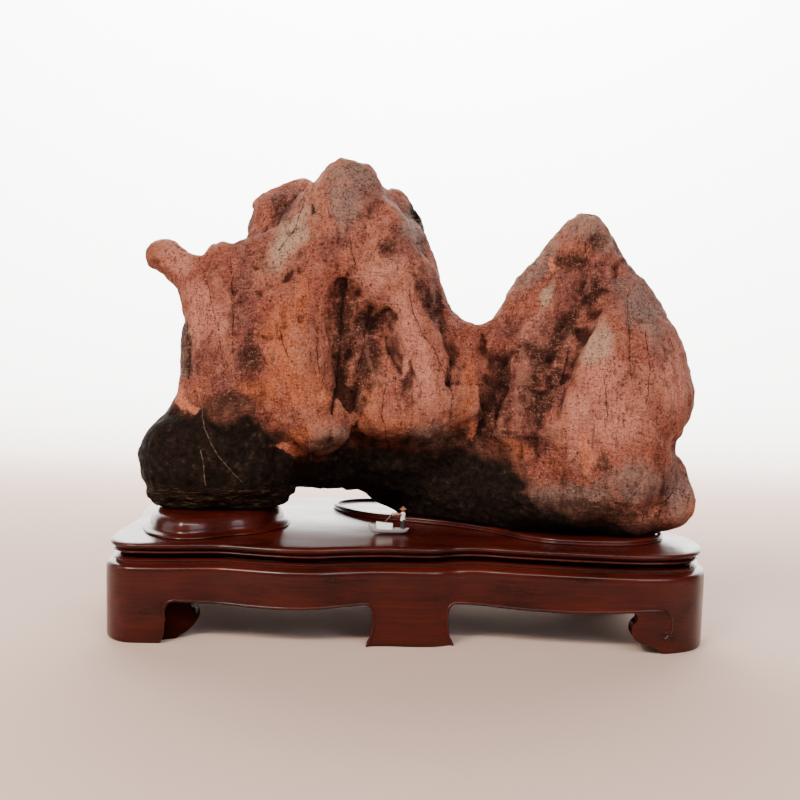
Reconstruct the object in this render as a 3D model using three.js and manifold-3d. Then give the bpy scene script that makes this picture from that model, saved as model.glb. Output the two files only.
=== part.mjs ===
// A scholars rock: one weathered stone with a main peak, a back peak, a horn and a second
// mountain, bridged over an arch, on a carved hardwood stand with a raised seat for its left
// foot, a low seat rim for its main foot, and a miniature boatman set out on the board.
// Millimetres, +Z up. Front is -Y. Z = 0 is the table, and the origin is under the middle of
// the object's box.
import * as THREE from "three";
import { mergeVertices } from "three/addons/utils/BufferGeometryUtils.js";
import Module from "manifold-3d";

const wasm = await Module();
wasm.setup();

// ---------------------------------------------------------------- driving dimensions

const GAP = 0.3; // between pieces that touch

const BOARD_TOP = 84; // the stand's height: the board's upper face
const BOARD_UNDER = 74.4;
const WAIST_UNDER = 70; // the aprons start here and the legs run down to the table
const OUTLINE_STEPS = 66; // stations round the stand's wavy plan

const ROCK_CELL = 13.78; // the stone's mesh spacing
const FOLD_BLEND = 5; // how softly the stone's folds run into each other

const LEFT_SEAT_TOP = 102; // where the stone's left foot stands
const RIM_HEIGHT = 5; // the main seat's rim above the board
const RIM_WIDTH = 5;

// The board's plan, anticlockwise from the front left corner: waves, not a rectangle.
const BOARD_PLAN = [
  [-240, -98], [-228, -112], [-192, -113], [-148, -109], [-108, -117], [-72, -120],
  [-36, -112], [0, -108], [26, -109], [60, -98], [104, -105], [156, -112], [210, -115],
  [246, -104], [260, -80], [259, -46], [240, -12], [225, 28], [206, 66], [170, 92],
  [120, 90], [70, 97], [20, 110], [-40, 116], [-100, 109], [-160, 113], [-208, 106],
  [-234, 80], [-240, 36], [-236, -10], [-242, -60],
];

// ---------------------------------------------------------------- solids and meshes

function solidFrom(geometry) {
  const bare = geometry.index ? geometry.toNonIndexed() : geometry.clone();
  bare.deleteAttribute("normal");
  bare.deleteAttribute("uv");
  const merged = mergeVertices(bare, 1e-4);
  return new wasm.Manifold(
    new wasm.Mesh({
      numProp: 3,
      vertProperties: merged.attributes.position.array,
      triVerts: new Uint32Array(merged.index.array),
    }),
  );
}

function geometryFrom(solid) {
  const mesh = solid.getMesh();
  const stride = mesh.numProp;
  const points = new Float32Array(mesh.numVert * 3);
  for (let i = 0; i < mesh.numVert; i += 1) {
    points.set(mesh.vertProperties.subarray(i * stride, i * stride + 3), i * 3);
  }
  const geometry = new THREE.BufferGeometry();
  geometry.setAttribute("position", new THREE.BufferAttribute(points, 3));
  geometry.setIndex(new THREE.BufferAttribute(mesh.triVerts, 1));
  geometry.computeVertexNormals();
  return geometry;
}

function indexed(points, triangles) {
  const geometry = new THREE.BufferGeometry();
  geometry.setAttribute("position", new THREE.Float32BufferAttribute(points.flat(), 3));
  geometry.setIndex(triangles.flat());
  return geometry;
}

const unite = (solids) => solids.reduce((whole, next) => whole.add(next));

function box(low, high) {
  const size = low.map((v, i) => high[i] - v);
  const geometry = new THREE.BoxGeometry(...size);
  geometry.translate(...low.map((v, i) => v + size[i] / 2));
  return solidFrom(geometry);
}

// ---------------------------------------------------------------- the stand's plan

function smoothLoop(points, steps) {
  const curve = new THREE.CatmullRomCurve3(
    points.map(([x, y]) => new THREE.Vector3(x, y, 0)), true, "centripetal",
  );
  return curve.getSpacedPoints(steps).slice(0, steps).map((p) => [p.x, p.y]);
}

// The loop moved outwards by a distance, or inwards if that is negative.
function moved(loop, out) {
  return loop.map(([x, y], i) => {
    const before = loop[(i + loop.length - 1) % loop.length];
    const after = loop[(i + 1) % loop.length];
    const along = new THREE.Vector2(after[0] - before[0], after[1] - before[1]).normalize();
    return [x + along.y * out, y - along.x * out];
  });
}

// A plate whose edge follows a moulding: [out, z] pairs from the upper face to the lower one.
function mouldedPlate(loop, moulding) {
  const rings = moulding.map(([out, z]) => moved(loop, out).map(([x, y]) => [x, y, z]));
  const n = loop.length;
  const triangles = [];
  for (let k = 0; k + 1 < rings.length; k += 1) {
    for (let i = 0; i < n; i += 1) {
      const j = (i + 1) % n;
      triangles.push([k * n + i, (k + 1) * n + i, (k + 1) * n + j]);
      triangles.push([k * n + i, (k + 1) * n + j, k * n + j]);
    }
  }
  const flat = (ring) => ring.map(([x, y]) => new THREE.Vector2(x, y));
  const last = (rings.length - 1) * n;
  for (const [a, b, c] of THREE.ShapeUtils.triangulateShape(flat(rings[0]), [])) {
    triangles.push([a, b, c]);
  }
  for (const [a, b, c] of THREE.ShapeUtils.triangulateShape(flat(rings.at(-1)), [])) {
    triangles.push([last + a, last + c, last + b]);
  }
  return solidFrom(indexed(rings.flat(), triangles));
}

// A closed hoop whose section is a loop of [out, z] pairs: outside top, down, inside, up.
function hoop(loop, section) {
  const rings = section.map(([out, z]) => moved(loop, out).map(([x, y]) => [x, y, z]));
  const n = loop.length;
  const triangles = [];
  for (let k = 0; k < rings.length; k += 1) {
    const next = (k + 1) % rings.length;
    for (let i = 0; i < n; i += 1) {
      const j = (i + 1) % n;
      triangles.push([k * n + i, next * n + i, next * n + j]);
      triangles.push([k * n + i, next * n + j, k * n + j]);
    }
  }
  return solidFrom(indexed(rings.flat(), triangles));
}

// A 2D outline of [across, z] points, made solid along the other level axis.
function sawn(outline, from, to, axis) {
  const shape = new THREE.Shape(outline.map(([a, z]) => new THREE.Vector2(a, z)));
  const geometry = new THREE.ExtrudeGeometry(shape, { depth: to - from, bevelEnabled: false });
  if (axis === "y") {
    geometry.rotateX(Math.PI / 2);
    geometry.translate(0, to, 0);
  } else {
    geometry.rotateX(Math.PI / 2);
    geometry.rotateZ(Math.PI / 2);
    geometry.translate(from, 0, 0);
  }
  return solidFrom(geometry);
}

// ---------------------------------------------------------------- the stand's pieces

const plan = smoothLoop(BOARD_PLAN, OUTLINE_STEPS);

function board() {
  const moulding = [
    [-3.5, BOARD_TOP], [-0.8, BOARD_TOP - 1.6], [0, BOARD_TOP - 3.8],
    [-1.6, BOARD_TOP - 7], [-2.2, BOARD_UNDER],
  ];
  return mouldedPlate(plan, moulding);
}

function waist() {
  const [top, under] = [BOARD_UNDER - GAP, WAIST_UNDER + GAP];
  return hoop(plan, [[-7, top], [-7, under], [-18, under], [-18, top]]);
}

const APRON_FACE = 3.5; // the aprons and legs swell this far past the board's edge
const APRON_BACK = -12;

function skirt() {
  return hoop(plan, [
    [-2.5, WAIST_UNDER], [-2, WAIST_UNDER - 3.6], [2.2, WAIST_UNDER - 7],
    [APRON_FACE, WAIST_UNDER - 14], [APRON_FACE, 0], [APRON_BACK, 0], [APRON_BACK, WAIST_UNDER],
  ]);
}

// The opening between two legs: its sides lean in towards the table, its top dips in the middle.
function openingOutline(left, right, high, dip) {
  const corner = 8;
  const flare = 6;
  const middle = (left + right) / 2;
  const outline = new THREE.Path();
  outline.moveTo(left + flare, -5);
  outline.lineTo(left + flare, 0);
  outline.quadraticCurveTo(left, 8, left, high * 0.62);
  outline.quadraticCurveTo(left, high, left + corner, high);
  outline.quadraticCurveTo(middle, high - 2 * dip, right - corner, high);
  outline.quadraticCurveTo(right, high, right, high * 0.62);
  outline.quadraticCurveTo(right, 8, right - flare, 0);
  outline.lineTo(right - flare, -5);
  return outline.getPoints(6).map((p) => [p.x, p.y]);
}

// Where the skirt is opened: between the corner legs and the centre legs, and at both ends.
const LEG_LEFT_FRONT = -193;
const LEG_LEFT_BACK = -190;
const CENTRE_LEG = [-18, 43];
const LEG_RIGHT_FRONT = 225;
const LEG_RIGHT_BACK = 172;
const LEFT_END = [-62, 66];
const RIGHT_END = [-50, 40];
const OPENING_TOP = 37;
const OPENING_DIP = 3;

function openings() {
  const cut = (a, b, from, to, axis) =>
    sawn(openingOutline(a, b, OPENING_TOP, OPENING_DIP), from, to, axis);
  return unite([
    cut(LEG_LEFT_FRONT, CENTRE_LEG[0], -150, -70, "y"),
    cut(CENTRE_LEG[1], LEG_RIGHT_FRONT, -150, -70, "y"),
    cut(LEG_LEFT_BACK, CENTRE_LEG[0], 70, 150, "y"),
    cut(CENTRE_LEG[1], LEG_RIGHT_BACK, 60, 150, "y"),
    cut(...LEFT_END, -260, -200, "x"),
    cut(...RIGHT_END, 190, 280, "x"),
  ]);
}

// Toes curl inwards from the corner legs: [inwards from the leg's inner edge, z].
const TOE = [
  [-20, 0], [12, 0], [14, 9], [19, 12], [24, 17], [26, 22], [23, 27], [18, 32], [19, 37], [15, 41],
  [-20, 41],
];
const SMALL_TOE = [
  [-12, 0], [8, 0], [12, 8], [20, 13], [19, 20], [15, 25], [16, 32], [-12, 35],
];

// A toe beside the edge at x, curling towards +X or -X, as deep as from..to, tied to its leg by
// a block that reaches on to tie.
function toe(outline, x, way, from, to, tie) {
  const shape = outline.map(([inwards, z]) => [x + way * inwards, z]);
  const [deep, high] = [outline[0][0], outline.at(-1)[1]];
  const block = [x + way * deep, x - way * 1.5].sort((a, b) => a - b);
  return sawn(shape, from, to, "y").add(
    box([block[0], Math.min(from, tie), 0], [block[1], Math.max(to, tie), high]),
  );
}

function apronsAndLegs() {
  const whole = skirt().subtract(openings());
  const part = (x0, x1, y0, y1) =>
    whole.intersect(box([x0 + GAP / 2, y0 + GAP / 2, -10], [x1 - GAP / 2, y1 - GAP / 2, 90]));
  const [west, east, south, north] = [-300, 300, -200, 200];
  const seam = 2; // the seams stand this far outside the openings
  const [fl, fr] = [LEG_LEFT_FRONT - seam, LEG_RIGHT_FRONT + seam];
  const [bl, br] = [LEG_LEFT_BACK - seam, LEG_RIGHT_BACK + seam];
  const [l0, l1] = [LEFT_END[0] - seam, LEFT_END[1] + seam];
  const [r0, r1] = [RIGHT_END[0] - seam, RIGHT_END[1] + seam];
  return {
    apron_front: part(fl, fr, south, -60),
    apron_back: part(bl, br, 60, north),
    apron_left: part(west, -200, l0, l1),
    apron_right: part(190, east, r0, r1),
    leg_front_left: part(west, fl, south, l0).add(toe(TOE, fl, 1, -98, -76, -106)),
    leg_front_right: part(fr, east, south, r0).add(toe(SMALL_TOE, fr, -1, -96, -76, -106)),
    leg_back_left: part(west, bl, l1, north).add(toe(TOE, bl, 1, 72, 94, 99)),
    leg_back_right: part(br, east, r1, north).add(toe(SMALL_TOE, br, -1, 52, 72, 78)),
  };
}

// The seat under the left foot: a cushion that swells from a low fillet.
const SEAT_PLAN = [
  [-224, -34], [-220, -62], [-212, -80], [-198, -93], [-180, -99], [-160, -92], [-142, -80],
  [-120, -68], [-104, -48], [-97, -18], [-104, 12], [-130, 30], [-165, 34], [-200, 22], [-218, -4],
];

function leftSeat() {
  const moulding = [
    [-15, LEFT_SEAT_TOP], [-10, LEFT_SEAT_TOP - 1.4], [-6, LEFT_SEAT_TOP - 5],
    [-3.6, LEFT_SEAT_TOP - 10], [-3, BOARD_TOP + 3.4], [0, BOARD_TOP + 2.2], [0, BOARD_TOP + GAP],
  ];
  return mouldedPlate(smoothLoop(SEAT_PLAN, 34), moulding);
}

// The rim round the stone's main foot, drawn at its outer edge.
const RIM_PLAN = [
  [-64, 64], [-52, 36], [-32, 14], [2, -1], [38, -14], [78, -37], [102, -61], [120, -78],
  [141, -85], [184, -87], [212, -80], [232, -56], [234, -16], [214, 22], [188, 52], [150, 72],
  [90, 84], [20, 90], [-44, 86],
];
const rimPlan = smoothLoop(RIM_PLAN, 52);

function mainSeatRim() {
  const [low, high] = [BOARD_TOP + GAP, BOARD_TOP + RIM_HEIGHT];
  return hoop(rimPlan, [
    [-1.6, high], [0, high - 2], [0, low], [-RIM_WIDTH, low], [-RIM_WIDTH, high],
  ]);
}

// ---------------------------------------------------------------- the stone

// Each fold is a run of [x, y, z, radius]: the stone is what they make when they melt together.
const FOLDS = {
  leftFoot: [[-180, -28, 143, 48], [-140, -26, 140, 46]],
  leftFootBase: [[-190, -28, 117, 30], [-130, -24, 117, 29]],
  leftEdge: [[-166, -26, 198, 31], [-170, -22, 240, 26], [-173, -16, 281, 22], [-191, -7, 305, 17], [-212, -3, 322, 16]],
  secondFold: [[-160, -10, 319, 13], [-156, -28, 286, 19], [-148, -38, 240, 25], [-144, -40, 185, 32]],
  bandFold: [[-134, -8, 322, 14], [-130, -26, 286, 18], [-124, -40, 240, 24]],
  belly: [[-112, -10, 316, 14], [-102, -32, 282, 20], [-92, -46, 235, 27], [-92, -48, 192, 27]],
  hangingLobe: [[-76, -50, 200, 20], [-66, -54, 173, 21]],
  leftCore: [[-130, 5, 190, 42], [-125, 15, 260, 42], [-110, 10, 290, 30]],
  backPeak: [[-92, 30, 382, 13], [-122, 34, 366, 18], [-126, 34, 337, 20], [-112, 25, 280, 34]],
  mainRidge: [[-54, 0, 403, 11], [-56, -6, 374, 21], [-66, -14, 336, 26], [-76, -26, 295, 23], [-80, -36, 250, 20]],
  leftShoulder: [[-66, -2, 392, 12], [-88, -10, 352, 17], [-104, -14, 320, 18]],
  nose: [[-36, 0, 394, 11], [-27, -14, 356, 18], [-22, -24, 326, 20], [-20, -31, 307, 16]],
  noseEdge: [[-36, -33, 309, 11], [-14, -36, 303, 15], [6, -34, 298, 16]],
  pinkSlab: [[-10, -14, 350, 15], [2, -28, 312, 16], [9, -38, 274, 16], [22, -46, 236, 18], [33, -48, 202, 20], [22, -48, 187, 20]],
  flank: [[5, 8, 342, 15], [12, -5, 312, 18], [20, -10, 280, 21]],
  backSlab: [[-11, 34, 371, 14], [0, 38, 351, 18], [3, 38, 315, 20]],
  peakCore: [[-46, 16, 362, 24], [-40, 15, 290, 46], [-40, 14, 220, 50]],
  betweenPeaks: [[-106, 16, 346, 20], [-86, 18, 364, 18], [-46, 18, 372, 18], [-18, 24, 364, 18]],
  innerSlab: [[-24, -13, 262, 16], [-22, -25, 228, 21], [-14, -42, 190, 24]],
  thinRidge: [[58, -12, 252, 12], [63, -28, 225, 14], [57, -40, 196, 16]],
  saddle: [[30, 2, 246, 21], [62, 5, 242, 17], [92, -2, 250, 18]],
  cleftFloor: [[-52, -14, 250, 22], [-50, -14, 195, 28]],
  saddleCore: [[30, -10, 256, 22], [20, 8, 215, 40], [70, 10, 200, 38], [100, 10, 205, 40]],
  underCore: [[-120, -2, 165, 34], [-60, 6, 150, 38], [4, 10, 156, 44], [70, 5, 180, 44]],
  archBack: [[-128, 56, 127, 24], [-64, 62, 127, 24], [-4, 60, 127, 26]],
  mainFoot: [[-8, 34, 118, 26], [34, 30, 115, 42], [98, -6, 122, 50], [160, -20, 130, 50]],
  mountainLeft: [[160, 0, 356, 14], [140, -4, 333, 15], [122, -6, 309, 16], [104, -8, 283, 17], [92, -8, 262, 16]],
  secondRidge: [[170, -10, 334, 13], [147, -15, 303, 15], [127, -22, 276, 16], [113, -28, 246, 17], [106, -40, 210, 19], [98, -44, 180, 20]],
  mountainRight: [[166, 0, 352, 13], [180, -5, 318, 20], [195, -12, 285, 29], [214, -20, 245, 37], [222, -26, 210, 38]],
  bulgeCrest: [[192, -18, 300, 12], [184, -33, 276, 20], [174, -48, 250, 27], [162, -56, 215, 28], [150, -56, 176, 30]],
  mountainCore: [[160, 5, 300, 30], [155, 5, 240, 48], [150, 0, 180, 56]],
  rightBulge: [[200, -36, 242, 38], [200, -42, 200, 46], [192, -42, 150, 49]],
  rightBase: [[186, -34, 128, 44], [200, -38, 112, 34]],
  frontToe: [[138, -52, 150, 22], [116, -44, 122, 24], [150, -52, 118, 26]],
  sideBump: [[244, -34, 142, 12], [244, -38, 121, 18]],
  lowLump: [[242, -44, 108, 16], [232, -42, 106, 17]],
};

// Furrows are runs of the same kind, taken away.
const FURROWS = {
  deepCleft: [[-50, -52, 312, 3], [-52, -58, 290, 7], [-54, -64, 250, 9], [-56, -74, 226, 6]],
  underNose: [[-42, -60, 280, 4], [-26, -50, 273, 9], [-12, -56, 271, 5]],
  mountainRecess: [[172, -40, 306, 5], [157, -52, 270, 9], [141, -66, 236, 10], [128, -78, 196, 7]],
  valley: [[86, -40, 240, 8], [80, -57, 205, 11], [74, -68, 176, 8]],
};

function distanceToRun(run, x, y, z) {
  let nearest = Infinity;
  for (let i = 0; i + 1 < run.length; i += 1) {
    const [a, b] = [run[i], run[i + 1]];
    const [dx, dy, dz] = [b[0] - a[0], b[1] - a[1], b[2] - a[2]];
    const along = ((x - a[0]) * dx + (y - a[1]) * dy + (z - a[2]) * dz) / (dx * dx + dy * dy + dz * dz);
    const t = Math.min(1, Math.max(0, along));
    const gone = Math.hypot(x - a[0] - t * dx, y - a[1] - t * dy, z - a[2] - t * dz);
    nearest = Math.min(nearest, gone - (a[3] + t * (b[3] - a[3])));
  }
  return nearest;
}

const folds = Object.values(FOLDS);
const furrows = Object.values(FURROWS);

// Negative inside the stone.
function stoneField(x, y, z) {
  let melted = 0;
  for (const run of folds) {
    melted += Math.exp(-distanceToRun(run, x, y, z) / FOLD_BLEND);
  }
  let field = -FOLD_BLEND * Math.log(melted);
  for (const run of furrows) {
    const cut = -distanceToRun(run, x, y, z);
    const mix = Math.min(1, Math.max(0, 0.5 + (cut - field) / (2 * FOLD_BLEND)));
    field = field + (cut - field) * mix + FOLD_BLEND * mix * (1 - mix);
  }
  const floor = x < -70 ? LEFT_SEAT_TOP + GAP : BOARD_TOP + GAP;
  return Math.max(field, floor - z);
}

// Surface nets: one vertex in each cell that the surface crosses, one quad on each crossed edge.
function polygonise(field, low, high, cell) {
  const counts = low.map((v, i) => Math.ceil((high[i] - v) / cell) + 1);
  const [nx, ny, nz] = counts;
  const at = (i, j, k) => (k * ny + j) * nx + i;
  const values = new Float64Array(nx * ny * nz);
  for (let k = 0; k < nz; k += 1) {
    for (let j = 0; j < ny; j += 1) {
      for (let i = 0; i < nx; i += 1) {
        values[at(i, j, k)] = field(low[0] + i * cell, low[1] + j * cell, low[2] + k * cell);
      }
    }
  }
  const corners = [0, 1, 2, 3, 4, 5, 6, 7].map((c) => [c & 1, (c >> 1) & 1, (c >> 2) & 1]);
  const edges = [];
  corners.forEach((a, p) => corners.forEach((b, q) => {
    if (p < q && Math.abs(a[0] - b[0]) + Math.abs(a[1] - b[1]) + Math.abs(a[2] - b[2]) === 1) {
      edges.push([p, q]);
    }
  }));
  const points = [];
  const vertexOf = new Map();
  for (let k = 0; k + 1 < nz; k += 1) {
    for (let j = 0; j + 1 < ny; j += 1) {
      for (let i = 0; i + 1 < nx; i += 1) {
        const v = corners.map(([a, b, c]) => values[at(i + a, j + b, k + c)]);
        const sum = [0, 0, 0];
        let crossings = 0;
        for (const [p, q] of edges) {
          if (v[p] < 0 !== v[q] < 0) {
            const t = v[p] / (v[p] - v[q]);
            for (let axis = 0; axis < 3; axis += 1) {
              sum[axis] += corners[p][axis] + t * (corners[q][axis] - corners[p][axis]);
            }
            crossings += 1;
          }
        }
        if (crossings) {
          vertexOf.set(at(i, j, k), points.length);
          points.push([i, j, k].map((c, axis) => low[axis] + (c + sum[axis] / crossings) * cell));
        }
      }
    }
  }
  const triangles = [];
  const step = [[1, 0, 0], [0, 1, 0], [0, 0, 1]];
  for (let k = 1; k + 1 < nz; k += 1) {
    for (let j = 1; j + 1 < ny; j += 1) {
      for (let i = 1; i + 1 < nx; i += 1) {
        for (let axis = 0; axis < 3; axis += 1) {
          const [a, b] = [values[at(i, j, k)], values[at(i + step[axis][0], j + step[axis][1], k + step[axis][2])]];
          if (a < 0 === b < 0) continue;
          const [u, w] = [step[(axis + 1) % 3], step[(axis + 2) % 3]];
          const cellAt = (p, q) => vertexOf.get(at(
            i - p * u[0] - q * w[0], j - p * u[1] - q * w[1], k - p * u[2] - q * w[2],
          ));
          const quad = [cellAt(1, 1), cellAt(0, 1), cellAt(0, 0), cellAt(1, 0)];
          if (a >= 0) quad.reverse();
          triangles.push([quad[0], quad[1], quad[2]], [quad[0], quad[2], quad[3]]);
        }
      }
    }
  }
  return indexed(points, triangles);
}

function stone() {
  const whole = solidFrom(polygonise(stoneField, [-262, -124, 62], [290, 112, 432], ROCK_CELL));
  const rimTop = BOARD_TOP + RIM_HEIGHT + 2 * GAP;
  const insideRim = mouldedPlate(rimPlan, [[-RIM_WIDTH - 2 * GAP, rimTop + 1], [-RIM_WIDTH - 2 * GAP, 60]]);
  const offTheBoard = box([-90, -200, 70], [320, 200, rimTop]).subtract(insideRim);
  const shells = whole.subtract(offTheBoard).simplify(0.1).decompose();
  return shells.sort((a, b) => b.volume() - a.volume())[0];
}

// ---------------------------------------------------------------- the boat

const BOAT = [-7.4, -53, BOARD_TOP + GAP]; // the middle of its keel
const BOAT_FLOOR = 2.6;
const BOAT_DECK = 4.3; // where the boatman stands

function placed(solid) {
  return solid.translate(...BOAT);
}

// The hull's plan at a given distance inside its widest line: pointed at both ends.
function hullPlan(inside) {
  const half = 18 - 3.4 * inside;
  const beam = 4.6 - inside;
  const points = [];
  for (let i = 0; i < 24; i += 1) {
    const turn = (i / 24) * 2 * Math.PI;
    const along = Math.cos(turn);
    points.push([half * along, beam * Math.sin(turn) * (1 - 0.35 * along * along)]);
  }
  return points;
}

function boatHull() {
  const side = [
    [-13, 0], [13, 0], [18, 4.9], [15, BOAT_DECK], [7, 4.1], [-6, 4.1], [-12, 5], [-18, 7.6],
  ];
  const outside = mouldedPlate(hullPlan(0), [[0, 9], [0, -1]]);
  const inside = mouldedPlate(hullPlan(1), [[0, 9], [0, BOAT_FLOOR]])
    .subtract(box([7, -9, 0], [30, 9, 20]));
  return placed(sawn(side, -6, 6, "y").intersect(outside).subtract(inside));
}

function boatCabin() {
  const [low, high] = [BOAT_FLOOR + GAP, BOAT_FLOOR + 8.6];
  return placed(box([-10.6, -1.7, low], [3.3, 1.7, high]));
}

function rod(from, to, radius, tip = radius) {
  const [a, b] = [new THREE.Vector3(...from), new THREE.Vector3(...to)];
  const geometry = new THREE.CylinderGeometry(tip, radius, a.distanceTo(b), 8);
  const along = b.clone().sub(a).normalize();
  geometry.applyQuaternion(
    new THREE.Quaternion().setFromUnitVectors(new THREE.Vector3(0, 1, 0), along),
  );
  geometry.translate(...a.clone().add(b).multiplyScalar(0.5).toArray());
  return solidFrom(geometry);
}

const BOATMAN_X = 12.3;
const POLE_GRIP = [3, -1.5, 17.6];

function boatman() {
  const x = BOATMAN_X;
  const soles = BOAT_DECK + GAP;
  const head = new THREE.SphereGeometry(1.5, 8, 5);
  head.translate(x, 0, 20.4);
  return placed(unite([
    rod([x + 0.9, -1.1, soles], [x + 0.3, -0.8, 12.2], 0.95, 1.2),
    rod([x - 1, 1.1, soles], [x - 0.2, 0.8, 12.2], 0.95, 1.2),
    rod([x, 0, 11.6], [x, 0, 18.6], 2, 2.2),
    rod([x, 0, 18], [x, 0, 20], 1),
    solidFrom(head),
    rod([x, 0, 21.2], [x, 0, 24.2], 3.1, 0.2),
    rod([x, -1.8, 17.6], [POLE_GRIP[0] + 1.2, -1.5, 17.4], 0.8, 0.65),
    rod([x, 1.8, 17.6], [POLE_GRIP[0] + 2.2, 0.2, 16.2], 0.8, 0.65),
  ]));
}

function boatPole() {
  return placed(rod([-3.4, -3.8, 10.2], [3.4, -1.8, 18.6], 0.35));
}

// ---------------------------------------------------------------- assembly

function piece(name, solid, { color, roughness }) {
  const mesh = new THREE.Mesh(
    geometryFrom(solid), new THREE.MeshStandardMaterial({ color, roughness, metalness: 0 }),
  );
  mesh.name = name;
  return mesh;
}

const REDWOOD = { color: 0x4a1710, roughness: 0.25 };
const STONE = { color: 0x8a5346, roughness: 0.8 };
const GREY_GLAZE = { color: 0x55504e, roughness: 0.35 };
const WHITE_GLAZE = { color: 0xe8e6e0, roughness: 0.3 };
const BAMBOO = { color: 0x5c4030, roughness: 0.6 };

const scholarsRock = new THREE.Group();
scholarsRock.add(piece("rock", stone(), STONE));
scholarsRock.add(piece("left_seat", leftSeat(), REDWOOD));
scholarsRock.add(piece("main_seat_rim", mainSeatRim(), REDWOOD));
scholarsRock.add(piece("stand_board", board(), REDWOOD));
scholarsRock.add(piece("stand_waist", waist(), REDWOOD));
for (const [name, solid] of Object.entries(apronsAndLegs())) {
  scholarsRock.add(piece(name, solid, REDWOOD));
}
scholarsRock.add(piece("boat_hull", boatHull(), GREY_GLAZE));
scholarsRock.add(piece("boat_cabin", boatCabin(), WHITE_GLAZE));
scholarsRock.add(piece("boatman", boatman(), WHITE_GLAZE));
scholarsRock.add(piece("boat_pole", boatPole(), BAMBOO));

// The origin goes under the middle of the box that holds everything.
const bounds = new THREE.Box3().setFromObject(scholarsRock);
scholarsRock.position.set(
  -(bounds.min.x + bounds.max.x) / 2, -(bounds.min.y + bounds.max.y) / 2, -bounds.min.z,
);

export default scholarsRock;
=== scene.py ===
"""A scholars rock on its carved redwood stand, with a miniature boat.

The stone is drawn as folds that melt together and furrows that are taken away, then weathered.
The stand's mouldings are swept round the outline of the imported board. Lengths in the drawing
are millimetres; meshes are in metres.
"""

import math

import bmesh
import bpy
import numpy as np
from mathutils import Matrix, Vector


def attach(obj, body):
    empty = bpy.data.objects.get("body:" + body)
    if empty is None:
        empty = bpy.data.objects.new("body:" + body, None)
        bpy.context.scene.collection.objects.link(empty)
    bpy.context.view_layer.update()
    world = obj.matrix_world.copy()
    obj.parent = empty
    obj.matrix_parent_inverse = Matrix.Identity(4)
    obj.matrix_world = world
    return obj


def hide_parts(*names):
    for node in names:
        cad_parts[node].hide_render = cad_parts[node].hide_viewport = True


bl_info = {
    "name": "Scholars rock",
    "version": (1, 0, 0),
    "blender": (4, 5, 0),
    "location": "3D View > Sidebar > Scholars rock",
    "description": "Builds a weathered stone, its carved stand and a miniature boat",
    "category": "Object",
}

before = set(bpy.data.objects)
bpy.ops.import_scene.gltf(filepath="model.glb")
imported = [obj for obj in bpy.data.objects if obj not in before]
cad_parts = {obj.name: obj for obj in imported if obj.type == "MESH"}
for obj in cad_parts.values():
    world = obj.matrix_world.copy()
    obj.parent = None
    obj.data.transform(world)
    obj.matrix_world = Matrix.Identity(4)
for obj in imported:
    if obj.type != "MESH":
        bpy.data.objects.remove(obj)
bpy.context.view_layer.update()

MM = 0.001
DRAWN_FROM = np.array([-9.5330, 1.9013, 0.0])  # where the drawing's zero lies in the frame, mm
EYE = np.array([0.0, -1132.0, 315.0])  # the drawing's viewpoint, mm
EYE_DOWN, EYE_LEAN = 6.0, 1.27  # how far it looks down and leans, in degrees

# Heights on the stand, and the room that's left where one thing rests on another.
BOARD_TOP = 84.0
BOARD_WIDEST = BOARD_TOP - 3.8
LEFT_SEAT_TOP = 102.0
RIM_TOP = 89.0
RIM_WALL = RIM_TOP - 2
RIM_WIDTH = 5.6
LEFT_SEAT_END = -70.0
RIM_START = -80.0
RESTING = 0.3

# ------------------------------------------------------------------ the stone, as drawn

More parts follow.
